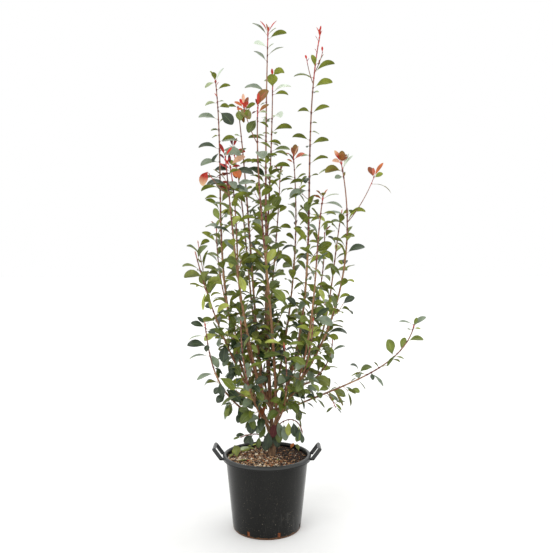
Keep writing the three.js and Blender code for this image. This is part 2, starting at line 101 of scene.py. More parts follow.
LIMBS = [
    dict(name="limb_left", on="trunk", at=0.97, bends=[(6, 10, 504)], tip=(-13, 0, 562), radius=(11, 8.5)),
    dict(name="limb_right", on="trunk", at=0.97, bends=[(46, 8, 527)], tip=(64, 0, 605), radius=(13, 10)),
    dict(name="limb_back", on="trunk", at=0.94, bends=[(26, 78, 530)], tip=(14, 112, 640),
         radius=(11.5, 9)),
    dict(name="limb_cross", on="limb_right", at=0.8, bends=[(-20, -24, 652)], tip=(-42, -14, 745),
         radius=(9.5, 7.5)),
    dict(name="limb_fan", on="limb_right", at=0.93, bends=[(130, 0, 660)], tip=(203, -8, 800),
         radius=(8.5, 7)),
]

# For a whip, bare is the share of it that has no leaves, and a bare tip ends in a large bud. A side shoot
# has its place on the whip, its tip, and the share of it that its leaves start from.
WHIPS = [
    dict(name="left_tall", on="limb_left", at=1, bends=[(-325, 0, 1095), (-205, 5, 1745)],
         tip=(-270, 20, 2320), radius=7, bare=0.16),
    dict(name="left_outer", on="limb_left", at=0.9, bends=[(-190, -55, 885), (-275, -85, 1090)],
         tip=(-357, -105, 1410), radius=6, bare=0.2, bare_tip=True,
         shoots=[dict(at=0.66, tip=(-352, -45, 1465), leafy_from=0.2)]),
    dict(name="left_low", on="limb_left", at=0.74, bends=[(-250, -85, 665), (-280, -120, 830)],
         tip=(-303, -165, 1062), radius=5.5, bare=0.16, bare_tip=True),
    dict(name="left_mid", on="limb_cross", at=0.72, bends=[(-80, 80, 1180), (-100, 125, 1720)],
         tip=(-160, 140, 2215), radius=7, bare=0.12),
    dict(name="left_front", on="limb_cross", at=0.88, bends=[(-145, -130, 1145), (-165, -195, 1540)],
         tip=(-200, -200, 1880), radius=6.5, bare=0.14,
         shoots=[dict(at=0.84, tip=(-275, -225, 1790), leafy_from=0.6)]),
    dict(name="left_inner", on="limb_cross", at=1, bends=[(-190, 15, 1100), (-130, 25, 1510)],
         tip=(-195, 40, 1875), radius=6, bare=0.13),
    dict(name="centre_front", on="limb_right", at=0.62, bends=[(40, -100, 1190), (-65, -145, 1680)],
         tip=(-43, -130, 2150), radius=8, bare=0.16,
         shoots=[dict(at=0.88, tip=(-115, -140, 2140), leafy_from=0.6)]),
    dict(name="centre_tall", on="limb_back", at=0.45, bends=[(-12, 60, 1260), (-14, 60, 1945)],
         tip=(4, 60, 2585), radius=8, bare=0.14),
    dict(name="centre_back", on="limb_back", at=1, bends=[(-45, 160, 1190), (30, 210, 1820)],
         tip=(27, 230, 2400), radius=7, bare=0.12),
    dict(name="right_inner", on="limb_back", at=0.68, bends=[(135, 160, 1045), (185, 215, 1520)],
         tip=(142, 240, 1980), radius=6, bare=0.15),
    dict(name="right_tall", on="limb_right", at=1, bends=[(310, 5, 1215), (155, 15, 1940)],
         tip=(280, 20, 2575), radius=7, bare=0.14,
         shoots=[dict(at=0.86, tip=(208, 20, 2425), leafy_from=0.6),
                 dict(at=0.89, tip=(291, 35, 2470), leafy_from=0.9)]),
    dict(name="right_front", on="limb_fan", at=0.45, bends=[(260, -125, 1005), (230, -195, 1415)],
         tip=(275, -210, 1680), radius=6, bare=0.15),
    dict(name="right_mid", on="limb_fan", at=0.85, bends=[(350, 105, 990), (347, 138, 1340)],
         tip=(405, 150, 1645), radius=5.5, bare=0.16, bare_tip=True),
    dict(name="right_outer", on="limb_fan", at=1, bends=[(427, -25, 1160), (446, -35, 1565)],
         tip=(380, -40, 1885), radius=6, bare=0.14,
         shoots=[dict(at=0.72, tip=(547, -60, 1802), leafy_from=0.8)]),
    dict(name="right_low", on="limb_right", at=0.84, bends=[(310, -25, 715), (698, -50, 798)],
         tip=(751, -60, 1047), radius=5, bare=0.2,
         shoots=[dict(at=0.32, tip=(345, -100, 640), leafy_from=0.3)]),
    dict(name="back_mid", on="limb_back", at=0.8, bends=[(-122, 200, 1055), (-100, 277, 1565)],
         tip=(-198, 290, 2020), radius=6.5, bare=0.13),
    dict(name="back_left", on="limb_back", at=0.88, bends=[(-150, 190, 850), (-290, 270, 1180)],
         tip=(-290, 275, 1560), radius=6, bare=0.15),
    dict(name="back_tall", on="limb_back", at=0.96, bends=[(-20, 240, 1000), (55, 335, 1400)],
         tip=(70, 340, 1880), radius=6.5, bare=0.14),
    dict(name="back_right", on="limb_back", at=0.92, bends=[(190, 220, 840), (330, 320, 1120)],
         tip=(325, 320, 1540), radius=6, bare=0.17),
    dict(name="front_low", on="limb_right", at=0.45, bends=[(124, -115, 654), (98, -213, 867)],
         tip=(86, -230, 966), radius=4.5, bare_tip=True),
    dict(name="front_left", on="limb_left", at=0.5, bends=[(-60, -110, 640), (-120, -260, 800)],
         tip=(-120, -270, 1085), radius=4.5),
    dict(name="front_right", on="limb_fan", at=0.2, bends=[(150, -100, 730), (215, -250, 850)],
         tip=(225, -260, 1100), radius=4.5),
    dict(name="side_right", on="limb_fan", at=0.62, bends=[(240, 30, 740), (340, 45, 800)],
         tip=(345, 45, 960), radius=4, bare_tip=True),
    dict(name="back_low_left", on="limb_back", at=0.3, bends=[(-60, 150, 600), (-145, 290, 760)],
         tip=(-150, 300, 1010), radius=4.5),
    dict(name="back_low_right", on="limb_back", at=0.55, bends=[(100, 180, 680), (180, 310, 800)],
         tip=(185, 320, 1060), radius=4.5),
    dict(name="foot_left", on="trunk", at=0.78, bends=[(-20, 0, 480), (-80, -40, 495)],
         tip=(-128, -70, 478), radius=3),
    dict(name="foot_right", on="limb_right", at=0.25, bends=[(80, 0, 560), (160, -40, 590)],
         tip=(180, -75, 505), radius=3),
]

# Leaves that are set one by one, where they stand out: the height where the leaf leaves the wood, its
# heading in degrees (0 is right, 90 back), its rise in degrees, its size and its kind. Then, where they
# aren't the usual ones: how far its upper side is turned to the front, its width, and how far it droops. A
# height of 1 or less is a share of the wood's length. Above the lowest of them a whip or a side shoot has
# no other leaves, unless the list's name ends in "more".
SET_LEAVES = {
    "centre_tall": [
        (2567, 180, 50, 1.0, "silver", 0.65, 0.3), (2548, 0, 34, 1.0, "green", -0.3, 0.4),
        (2584, 170, 62, 0.74, "scarlet", 0.4, 0.24), (2584, 0, 60, 0.74, "scarlet", 0.4, 0.24),
        (2582, 215, 78, 0.45, "orange", 0, 0.3), (2576, 300, 72, 0.36, "scarlet", 0, 0.3),
        (2572, 15, 50, 0.58, "fresh", 0, 0.3), (2506, 200, 22, 0.72, "pale", 1.2, 0.62),
        (2500, 320, 30, 0.42, "pale", 0.9, 0.7), (2462, 350, 38, 0.9, "silver", 0.6, 0.34),
        (2430, 180, 48, 0.85, "silver", 0.85), (2268, 180, 30, 1.15, "silver", 0.75),
        (2215, 200, -20, 0.35, "green"), (2130, 250, 0, 0.5, "pale"), (2035, 200, 10, 0.5, "pale"),
        (2012, 180, 25, 0.9, "deep"), (2005, 0, 5, 0.75, "green"), (1930, 20, 20, 0.6, "green"),
    ],
    "centre_back": [
        (2399, 5, 60, 0.8, "fresh", -0.9, 0.56, 1.8), (2340, 262, 66, 0.72, "fresh", 0, 0.95, 0.3),
        (2375, 190, 15, 0.45, "pale"), (2400, 120, 84, 0.5, "scarlet", 1.0, 0.3),
        (2318, 5, 34, 1.05, "pale", 0.75), (2303, 350, 12, 0.85, "green"), (2330, 20, 80, 0.3, "scarlet"),
        (2168, 305, 22, 0.85, "pale", 1.0, 0.75, 0.9), (2150, 200, 12, 0.5, "pale", 0.9, 0.7),
        (2170, 215, -20, 0.4, "deep"), (2095, 0, 28, 1.1, "green"), (2085, 285, 0, 0.75, "fresh"),
        (2078, 200, 15, 0.5, "pale"), (2030, 10, -10, 0.4, "green"), (1985, 0, 22, 1.0, "green", 0.75),
        (1975, 350, 5, 0.9, "silver"), (1915, 180, 20, 1.0, "green"), (1885, 5, 26, 1.05, "green"),
        (1880, 330, -10, 0.8, "silver"),
    ],
    "right_tall": [
        (2566, 60, 80, 0.4, "scarlet", 0, 0.26), (2556, 190, 68, 0.4, "scarlet", 0, 0.3),
        (2540, 0, 72, 0.4, "scarlet", 0, 0.3), (2544, 270, 76, 0.4, "scarlet", 0, 0.34),
        (2520, 170, 66, 0.34, "red", 0, 0.22), (2500, 10, 74, 0.3, "scarlet", 0, 0.22),
        (2465, 190, 60, 0.2, "red", 0, 0.3), (2385, 245, 58, 0.64, "fresh", 0.9, 0.64),
        (2400, 60, 30, 0.5, "deep"), (2361, 0, 38, 1.1, "green"), (2330, 180, 22, 1.0, "silver", 0.55),
        (2277, 350, 30, 1.0, "fresh"), (2258, 280, -15, 0.4, "deep"), (2255, 10, 15, 0.32, "pale"),
        (2150, 215, 10, 0.85, "green"), (2145, 0, 34, 0.95, "green"), (2095, 320, 0, 0.4, "silver"),
        (2050, 315, -10, 0.6, "pale"), (2003, 180, 26, 0.9, "deep"), (1978, 0, 30, 0.95, "green"),
        (1975, 250, -10, 0.5, "deep"), (1925, 200, 0, 0.45, "pale"), (1882, 0, 32, 0.95, "green"),
        (1815, 5, 22, 0.45, "green"), (1812, 250, -20, 0.75, "deep"), (1782, 180, 14, 0.95, "deep"),
        (1742, 200, -5, 1.1, "silver", 0.8), (1700, 255, -45, 0.85, "green"),
    ],
    "right_tall shoot": [
        (2423, 140, 74, 0.3, "scarlet", 1.0, 0.4), (2418, 30, 60, 0.2, "red"),
        (2330, 200, 30, 0.25, "green"),
    ],
    "right_tall shoot2": [
        (2468, 100, 82, 0.34, "scarlet", 1.0, 0.34), (2430, 20, 62, 0.36, "green", 0, 0.4),
        (2400, 350, 70, 0.3, "red"),
    ],
    "left_tall": [
        (2316, 150, 62, 0.62, "fresh"), (2312, 260, 40, 0.6, "green"),
        (2314, 15, 64, 0.8, "pale", 0.55, 0.25), (2310, 190, -20, 0.6, "pale"),
        (2316, 200, 60, 0.22, "scarlet"), (2290, 20, 60, 0.22, "scarlet"), (2268, 0, 30, 0.72, "green"),
        (2228, 180, 62, 0.24, "scarlet"), (2200, 200, -5, 0.65, "pale"), (2205, 10, 20, 0.3, "pale"),
        (2176, 350, 18, 0.58, "green", -0.5, 0.6, 0.8), (2112, 180, 24, 1.0, "silver", 0.75),
        (2158, 350, -34, 1.0, "deep", 1.2, 0.64, 0.4), (2096, 10, 44, 0.4, "fresh"),
        (2062, 180, 0, 0.4, "pale"), (2055, 220, 10, 0.35, "deep"), (2030, 220, -15, 0.45, "fresh"),
        (1995, 0, 30, 0.78, "green"), (1957, 180, 22, 1.05, "deep", 0.75),
        (1950, 350, 4, 1.1, "silver", 0.95), (1945, 235, -45, 0.75, "deep"),
        (1890, 185, 5, 0.95, "silver", 0.75), (1808, 180, 8, 0.95, "deep", 0.5),
        (1758, 180, 5, 0.95, "green"), (1745, 0, 10, 1.1, "green"), (1700, 205, 10, 0.8, "fresh"),
    ],
    "left_mid": [
        (2208, 180, 24, 0.5, "silver"), (2211, 190, 10, 0.55, "fresh", 0.8, 0.6),
        (2212, 20, 40, 0.4, "fresh"), (2206, 330, -32, 0.95, "olive", 0.9, 0.6),
        (2200, 350, -64, 0.75, "umber", 0.9, 0.36), (2204, 290, -56, 0.8, "fresh", 0.6, 0.6),
        (2050, 180, 22, 0.35, "pale"), (2020, 185, 18, 1.0, "silver", 0.65),
        (1948, 182, 18, 0.98, "silver", 0.9), (1905, 0, 15, 0.9, "green"), (1880, 0, -5, 1.1, "deep", 0.85),
        (1800, 0, 12, 0.5, "green"), (1760, 190, 8, 0.8, "silver", 0.6),
    ],
    "left_front": [
        (1879, 150, 66, 0.72, "red", 0.9, 0.26), (1878, 20, 60, 0.55, "scarlet", 0.9, 0.26),
        (1862, 190, 45, 0.4, "wine", 0.8), (1842, 10, 60, 0.42, "red", 0.8, 0.3),
        (1822, 190, 40, 0.4, "scarlet", 0.8), (1800, 260, -10, 0.6, "bronze", 0.8),
        (1792, 345, 28, 0.6, "green"), (1762, 300, -18, 0.9, "silver", 0.5),
        (1742, 190, 12, 0.8, "silver", 0.5), (1724, 340, 8, 0.8, "deep", 0.6),
        (1716, 180, 30, 0.5, "red", 0.8, 0.3), (1748, 182, 14, 0.98, "deep", 0.6),
        (1750, 190, 52, 0.9, "olive", 0.2, 0.4),
    ],
    "left_front shoot": [
        (1789, 220, 60, 0.88, "flame", 1.13, 0.52, 8), (1765, 340, 28, 0.9, "wine", 0.2, 0.34),
    ],
    "left_inner": [
        (1874, 0, 44, 0.88, "blush", 1.3, 0.46), (1873, 130, 82, 0.6, "wine", 1.0, 0.3),
        (1868, 180, 58, 0.5, "scarlet", 1.0, 0.3), (1866, 10, 20, 0.5, "red", 0.8),
        (1858, 190, 30, 0.55, "wine", 0.8), (1872, 332, -42, 0.82, "orange", 1.0, 0.62, 0.3),
        (1852, 350, -50, 0.5, "bronze", 1.0), (1846, 180, 20, 0.8, "deep", 0.8),
        (1842, 0, 14, 1.15, "deep", 0.8, 0.5), (1800, 250, -35, 0.7, "bronze", 0.8),
        (1784, 185, 8, 0.6, "red", 0.8, 0.4), (1760, 325, -8, 0.95, "silver", 0.7),
        (1740, 230, 10, 0.8, "deep", 0.8),
    ],
    "centre_front": [
        (2134, 8, 74, 1.0, "umber", 1.35, 0.56, 1.5), (2134, 285, 78, 0.68, "scarlet", 0.3, 0.24),
        (2108, 350, 44, 0.66, "umber", 1.2, 0.4), (2140, 170, 76, 0.4, "red", 1.0, 0.3),
        (2120, 185, -20, 0.3, "wine"), (2112, 350, 5, 0.45, "pale"),
        (2084, 215, -50, 0.9, "green", 1.1, 0.56), (2068, 350, -22, 0.6, "deep"),
        (1965, 350, -15, 0.7, "silver"), (1918, 288, -14, 1.05, "silver", 0.5, 0.6),
        (1912, 350, -25, 0.8, "deep"), (1862, 205, 8, 0.9, "green"), (1790, 350, 10, 0.8, "pale"),
        (1752, 200, 15, 1.0, "silver", 0.6),
    ],
    "centre_front shoot": [
        (2132, 170, 42, 0.55, "orange", 1.0, 0.4), (2138, 150, 66, 0.44, "scarlet", 1.2, 0.4),
        (2140, 100, 82, 0.62, "blush", 0.2, 0.3), (2128, 25, 72, 0.6, "bronze", 1.2, 0.36),
        (2124, 165, 14, 0.36, "orange", 1.2, 0.5), (2124, 290, 40, 0.5, "scarlet", 0.3, 0.7),
        (2118, 10, 44, 0.62, "green", -0.6), (2126, 40, 30, 0.4, "orange", 1.0),
    ],
    "right_inner": [
        (1946, 60, 76, 0.85, "umber", 1.25, 0.46), (1952, 0, 70, 0.7, "blush", 0.8, 0.16),
        (1944, 358, 34, 0.66, "copper", 0.9, 0.56, 0.3), (1925, 185, 34, 0.4, "orange", 0.9, 0.4),
        (1958, 178, 36, 0.5, "copper", 0.6, 0.26), (1962, 150, 80, 0.5, "bronze", 1.0, 0.36),
        (1935, 200, 58, 0.45, "deep", 1.0, 0.5), (1885, 0, 48, 0.5, "green"),
        (1842, 185, 12, 0.5, "silver"), (1832, 180, 4, 0.8, "deep"), (1825, 15, 42, 0.7, "green"),
        (1780, 190, 0, 0.45, "fresh"), (1772, 340, -45, 0.8, "green"),
    ],
    "right_outer": [
        (1876, 60, 80, 0.62, "umber", 1.2, 0.62, 0.2), (1876, 168, 66, 0.7, "flame", 1.2, 0.36),
        (1876, 30, 56, 0.56, "bronze", 1.1, 0.5), (1870, 190, 40, 0.5, "blush", 1.2, 0.5, 1.2),
        (1880, 60, 70, 0.55, "scarlet", 0.5, 0.18), (1878, 270, 50, 0.5, "bronze", 0, 0.6),
        (1846, 10, 58, 0.85, "pale", 0.5, 0.26), (1836, 20, 72, 0.9, "pale", 0.9, 0.2),
        (1832, 182, 18, 0.88, "olive", -0.5, 0.66, 0.6), (1838, 172, 14, 1.2, "pale", 0.1, 0.26),
        (1805, 205, 0, 0.5, "silver", 1.0, 0.6), (1800, 20, 80, 0.3, "olive", 1.0, 0.4),
        (1640, 10, -30, 0.42, "green", 1.0, 0.7), (1612, 0, 24, 0.9, "fresh", -0.4, 0.6),
        (1606, 180, 20, 1.0, "silver", 0.5),
    ],
    "right_outer shoot": [
        (1797, 140, 66, 0.62, "bronze", 1.2, 0.5), (1799, 10, 62, 0.85, "orange", 1.0, 0.26),
        (1795, 0, 34, 0.5, "fresh", -0.8, 0.62), (1766, 0, 2, 1.12, "olive", 0.3, 0.1, 0.7),
        (1798, 100, 80, 0.5, "copper", 0, 0.4),
    ],
    "right_front": [
        (1680, 160, 50, 0.45, "bronze"), (1680, 30, 60, 0.45, "orange"), (1678, 270, 30, 0.5, "olive"),
        (1672, 10, 30, 0.8, "pale", 0.2, 0.24), (1668, 200, 30, 0.5, "bronze"),
        (1650, 0, 4, 0.95, "silver", 0.4), (1648, 190, 0, 0.55, "deep"), (1600, 0, 10, 0.7, "silver"),
        (1585, 180, -5, 1.0, "green"),
    ],
    "right_low": [
        (1040, 0, 46, 0.74, "silver", 0.5, 0.58), (1046, 182, 27, 0.75, "silver", 0.4, 0.34),
        (1036, 30, 66, 0.5, "fresh", 1.0, 0.4), (1030, 350, 4, 0.34, "lime", 0.6, 0.4),
        (1020, 200, 20, 0.3, "green", 0.6), (962, 0, 24, 0.8, "fresh", 0.75, 0.5, 0.6),
        (915, 40, 62, 0.7, "fresh", 0.8, 0.5), (880, 190, 74, 0.9, "fresh", 1.2, 0.8),
        (884, 0, -4, 0.5, "fresh", 0.5), (900, 200, -38, 0.8, "green", 0.3, 0.36),
        (870, 20, -8, 0.5, "deep"), (825, 200, 55, 0.4, "deep"), (815, 0, 30, 0.65, "green"),
        (802, 270, -30, 0.5, "deep"), (800, 350, -38, 0.85, "silver", 0.4, 0.36),
        (790, 190, 12, 0.8, "green"), (768, 200, 60, 0.35, "silver"), (764, 350, -45, 0.6, "deep"),
        (745, 20, 40, 0.4, "green"), (730, 350, -20, 0.55, "silver", 0.5, 0.34),
        (722, 190, 50, 0.4, "green", 0, 0.34), (714, 0, -30, 0.6, "green", 0.4, 0.34),
        (708, 330, -48, 0.86, "olive", 0.3, 0.28), (698, 20, 35, 0.5, "fresh", 0, 0.34),
        (690, 340, -12, 0.7, "silver", 0.4, 0.3), (678, 180, 60, 0.4, "green", 0, 0.36),
        (668, 10, -40, 0.7, "green", 0.5, 0.36), (655, 350, 25, 0.55, "silver", 0.4, 0.34),
        (645, 20, -25, 0.6, "deep", 0.4, 0.34), (632, 180, 45, 0.45, "green", 0, 0.4),
        (618, 0, -35, 0.6, "deep", 0.5, 0.4),
    ],
    "right_low shoot": [
        (1.0, 345, -40, 0.4, "deep", 0.3, 0.3), (0.95, 190, -30, 0.5, "green", 0.5, 0.34),
        (0.8, 20, 15, 0.6, "green", 0.3, 0.3), (0.7, 330, -30, 0.55, "fresh", 0.4, 0.34),
        (0.55, 180, 40, 0.45, "deep", 0, 0.34), (0.4, 0, -20, 0.55, "silver", 0.4, 0.3),
    ],
    "back_tall": [(1879, 40, 70, 0.7, "bronze"), (1878, 170, 60, 0.6, "red"), (1870, 90, 40, 0.8, "olive")],
    "back_mid": [
        (2019, 150, 76, 0.7, "wine", 1.0, 0.26), (2019, 30, 70, 0.6, "red", 1.0, 0.3),
        (1990, 0, 20, 0.6, "scarlet", 1.0, 0.6), (1984, 350, -20, 0.55, "red", 1.0, 0.6),
        (2010, 100, 35, 0.8, "fresh"), (1975, 180, 20, 0.5, "bronze", 0.8),
    ],
    "back_left": [(1559, 60, 65, 0.6, "fresh"), (1558, 180, 60, 0.5, "bronze")],
    "back_right": [(1539, 60, 65, 0.6, "fresh"), (1538, 0, 55, 0.5, "bronze")],
    "front_low": [
        (962, 190, 25, 0.9, "lime", 0.5), (958, 0, 20, 0.9, "fresh", 0.4), (940, 280, -10, 0.7, "green"),
        (912, 180, 12, 1.0, "green", 0.6), (905, 340, -5, 1.0, "fresh", 0.6), (880, 20, 20, 0.7, "lime"),
    ],
    "left_low": [
        (1058, 200, 50, 0.5, "deep", 1.0), (1056, 10, 40, 0.22, "lime"), (1040, 182, 32, 0.72, "deep", 0.9),
        (1036, 0, -4, 0.95, "green", 0.5, 0.5), (1022, 320, 10, 0.6, "deep", 0.8),
        (998, 180, 6, 0.85, "pale", 0, 0.3), (962, 270, -20, 0.6, "deep", 0.3),
        (944, 180, 22, 1.0, "deep", 0.8, 0.5), (915, 335, -48, 0.8, "silver", 0.9),
        (897, 180, 10, 1.0, "silver", 0.2, 0.36), (842, 30, -30, 0.6, "deep", 0.8),
        (806, 184, -2, 0.92, "silver", 0.5), (792, 350, -22, 1.05, "fresh", 0.6, 0.5),
        (770, 300, -50, 0.8, "deep", 0.9), (745, 200, -45, 0.5, "deep", 1.0, 0.8),
        (728, 350, -24, 1.0, "deep", 0.9, 0.6), (700, 200, -30, 0.62, "deep", 0.9, 0.8),
        (682, 205, -76, 1.08, "silver", 0.4, 0.36), (668, 240, -60, 0.8, "green", 0.9),
        (640, 330, -55, 0.85, "deep", 0.9, 0.6), (604, 200, -50, 0.66, "deep", 0.9, 0.7),
        (590, 320, -60, 0.8, "green", 0.9), (576, 250, -78, 0.85, "deep", 1.0, 0.7),
    ],
    "left_outer more": [
        (962, 255, -68, 0.98, "deep", 1.0, 0.56), (900, 210, -50, 0.7, "silver", 0.9),
        (872, 250, -62, 0.75, "deep", 1.0), (866, 320, -58, 0.8, "green", 0.9),
        (820, 200, -40, 0.8, "deep", 0.9), (760, 300, -55, 0.8, "silver", 0.9),
        (1232, 200, -82, 1.0, "lime", 0.5, 0.26), (1190, 330, -76, 0.6, "lime", 0.5, 0.3),
    ],
    "left_front more": [
        (1445, 200, -80, 1.0, "lime", 0.9, 0.42), (1318, 340, -64, 0.95, "lime", 1.0, 0.42),
    ],
    "left_mid more": [(1440, 250, -78, 1.0, "deep", 1.0, 0.44), (1432, 320, -74, 0.8, "pale", 0.6, 0.3)],
    "centre_front more": [(1240, 345, -28, 1.05, "fresh", 1.0, 0.5)],
    "right_tall more": [(1622, 340, -14, 0.9, "lime", 0.5, 0.4)],
    "right_front more": [(1080, 345, 4, 1.05, "silver", 1.0, 0.5)],
    "foot_left": [
        (0.45, 245, -74, 0.62, "green", 0.9), (0.6, 195, -28, 0.66, "deep", 0.9, 0.6),
        (0.72, 280, -62, 0.55, "deep", 0.9), (0.85, 190, 10, 0.5, "deep", 0.8),
        (0.3, 300, -76, 0.7, "deep", 0.9), (1.0, 185, -5, 0.4, "green", 0.6),
    ],
    "foot_right": [
        (0.2, 280, -78, 0.85, "green", 0.9, 0.5), (0.35, 300, -74, 0.9, "silver", 0.9, 0.5),
        (0.5, 265, -80, 0.75, "lime", 0.9, 0.5), (0.62, 300, -72, 0.8, "deep", 0.9, 0.6),
        (0.74, 330, -74, 0.95, "lime", 0.4, 0.24), (0.85, 250, -70, 0.7, "deep", 0.9, 0.5),
        (0.95, 200, -60, 0.6, "green", 0.9), (1.0, 270, -80, 0.5, "deep", 0.9),
    ],
    "limb_left": [
        (502, 262, -80, 0.95, "deep", 0.9, 0.56), (528, 225, -50, 0.75, "green", 0.8),
        (548, 225, -35, 0.8, "silver", 0.6),
    ],
    "limb_right": [
        (552, 215, -72, 0.9, "wine", 0.9, 0.5), (492, 345, -74, 0.85, "deep", 1.0, 0.56),
        (556, 330, -74, 0.95, "silver", 0.9, 0.5),
    ],
    "limb_cross": [(636, 212, -44, 0.85, "bronze", 0.9, 0.36), (690, 230, -70, 0.7, "silver", 0.9, 0.3)],
}
USUAL_SET = (-0.3, 0.5, 0.45)  # a set leaf's turn to the front, width and droop

# How far below its tip a whip's bark is red.
RED_BARK = {
    "left_front": 90, "left_inner": 110, "centre_front": 60, "centre_tall": 70, "centre_back": 70,
    "right_inner": 50, "right_tall": 260, "right_outer": 40, "back_mid": 80, "back_tall": 50,
    "foot_left": 0, "foot_right": 0,
}
USUAL_RED_BARK = 15
NODE_REACH = 6  # how far from a bud the young bark is darker
NODE_SWELLING, NODE_LENGTH = 0.28, 3.5  # how much a stem swells at a bud, and how far along it
COLLAR, COLLAR_LENGTH = 0.45, 22  # the same for the foot of a whip

# ---- Numbers and curves ----

HASH_SCALE = 43758.5453  # so large that the digits behind a wave's point look random
DOWN = np.array([0, 0, -1], float)


def chance(a, b, c):
    """A number from 0 to 1 that depends only on its three keys."""
    wave = math.sin(a * 127.1 + b * 311.7 + c * 74.7) * HASH_SCALE
    return wave - math.floor(wave)


def vector(*xyz):
    return np.array(xyz, float)


def unit(v):
    return v / np.linalg.norm(v, axis=-1, keepdims=True)


def turned(v, axis, angle):
    """v turned about a unit axis."""
    cos, sin = math.cos(angle), math.sin(angle)
    return v * cos + np.cross(axis, v) * sin + axis * (axis @ v) * (1 - cos)


def mix(a, b, share):
    return a + (b - a) * share


def bent(start, bend, end, t):
    """The places t on a Bezier curve with one bend."""
    return (1 - t) ** 2 * start + 2 * t * (1 - t) * bend + t**2 * end


def taper(start, end):
    """A radius by the place on a curve."""
    return partial(mix, start, end)


class Curve:
    """A Bezier curve. A place on it is a share of its length, from 0 at the foot to 1 at the tip."""

    DIVISIONS = 200

    def __init__(self, *points):
        self.points = [np.array(p, float) for p in points]
        self.steps = np.linspace(0, 1, self.DIVISIONS + 1)
        gaps = np.linalg.norm(np.diff(self.drawn(self.points, self.steps), axis=0), axis=1)
        self.lengths = np.concatenate([[0], np.cumsum(gaps)])
        self.length = self.lengths[-1]
        run = unit(self.points[-1] - self.points[0])
        self.reference = vector(1, 0, 0) if abs(run[1]) > 0.7 else vector(0, 1, 0)

    @staticmethod
    def drawn(points, t):
        """Bernstein's sum over the control points at the parameters t."""
        n = len(points) - 1
        t = np.asarray(t, float)[..., None]
        return sum(math.comb(n, k) * (1 - t) ** (n - k) * t**k * p for k, p in enumerate(points))

    def parameter(self, u):
        return np.interp(np.asarray(u) * self.length, self.lengths, self.steps)

    def point(self, u):
        return self.drawn(self.points, self.parameter(u))

    def tangent(self, u):
        hops = [b - a for a, b in zip(self.points, self.points[1:])]
        return unit(self.drawn(hops, self.parameter(u)))

    def frame(self, u):
        """The tangent at a place, and two directions across it."""
        tangent = self.tangent(u)
        along = (tangent @ self.reference)[..., None]
        across = unit(self.reference - tangent * along)
        return tangent, across, np.cross(tangent, across)


def outward(frame_at, turn):
    _, across, side = frame_at
    return across * math.cos(turn) + side * math.sin(turn)


# ---- The growth rule ----

FLARE_FADE = 7  # how fast the root flare fades along the trunk
SHOOT_TAPER = taper(SHOOT_RADIUS, TIP_RADIUS)
SHOOT_OUT, SHOOT_UP = 0.6, 0.4  # a side shoot's bend: its share of the way out, and of the way up

wood = {}


def trunk_radius(u):
    return taper(*TRUNK["radius"])(u) + TRUNK["flare"] * np.exp(-FLARE_FADE * np.asarray(u))


def add_wood(spec, foot, radius, bare_to):
    curve = Curve(foot, *spec["bends"], spec["tip"])
    shoots = []
    for shoot in spec.get("shoots", []):
        start, end = curve.point(shoot["at"]), vector(*shoot["tip"])
        bend = mix(start, end, SHOOT_OUT)
        bend[2] = mix(start[2], end[2], SHOOT_UP)
        shoots.append(SimpleNamespace(curve=Curve(start, bend, end), leafy_from=shoot["leafy_from"]))
    wood[spec["name"]] = SimpleNamespace(
        name=spec["name"], curve=curve, radius=radius, bare_to=bare_to, shoots=shoots,
        bare_tip=spec.get("bare_tip", False))
    return wood[spec["name"]]


def foot_of(spec):
    return wood[spec["on"]].curve.point(spec["at"])


add_wood(TRUNK, TRUNK["foot"], trunk_radius, 1)
for limb in LIMBS:
    add_wood(limb, foot_of(limb), taper(*limb["radius"]), 1)
whips = []
for spec in WHIPS:
    whips.append(add_wood(spec, foot_of(spec), taper(spec["radius"], TIP_RADIUS), spec.get("bare", 0)))
FOLIAGE = ["foliage_" + whip.name for whip in whips]

STRETCHES = 24  # straight pieces that stand for one curve


def obstacles():
    """All wood as straight pieces: their ends, the clearance they need, and whose leafy part each is."""
    starts, ends, clearances, owners = [], [], [], []

    def add(curve, start, end, clearance, owner):
        line = curve.point(np.linspace(start, end, STRETCHES + 1))
        starts.append(line[:-1])
        ends.append(line[1:])
        clearances.extend([clearance] * STRETCHES)
        owners.extend([owner] * STRETCHES)

    for piece in wood.values():
        if piece.bare_to > 0:
            add(piece.curve, 0, piece.bare_to, piece.radius(0) + SPACE_MARGIN, "")
        if piece.bare_to < 1:
            add(piece.curve, piece.bare_to, 1, WOOD_CLEARANCE, piece.name)
        for shoot in piece.shoots:
            add(shoot.curve, 0, 1, WOOD_CLEARANCE, piece.name)
    return np.concatenate(starts), np.concatenate(ends), np.array(clearances), np.array(owners)


STARTS, ENDS, CLEARANCES, OWNERS = obstacles()
ROOM_LOW, ROOM_HIGH = (np.array(corner) / MM for corner in cad_box)


def has_room(points, whip):
    """Whether all points are above the pot, within the crown's reach, and clear of all wood but the whip's
    own leafy part."""
    points = np.array(points)
    if (points[:, 2] < LOWEST_LEAF).any():
        return False
    if (points < ROOM_LOW - OVERHANG).any() or (points > ROOM_HIGH + OVERHANG).any():
        return False
    edges = ENDS - STARTS
    from_start = points[:, None] - STARTS
    along = (from_start * edges).sum(-1) / (edges**2).sum(-1)
    nearest = from_start - edges * np.clip(along, 0, 1)[..., None]
    gaps = np.linalg.norm(nearest, axis=-1) - CLEARANCES
    return not (gaps[:, OWNERS != whip.name] < 0).any()


leaves = []
buds = []
twigs = []

# What a leaf that meets wood tries one after the other: a turn about its stem, and a share of its size.
TRIES = [(0, 1), (0.8, 1), (-0.8, 1), (0, 0.72), (1.6, 0.72), (-1.6, 0.72)]
STALK_DROOP = 0.35  # the share of a leaf's droop that its near half has


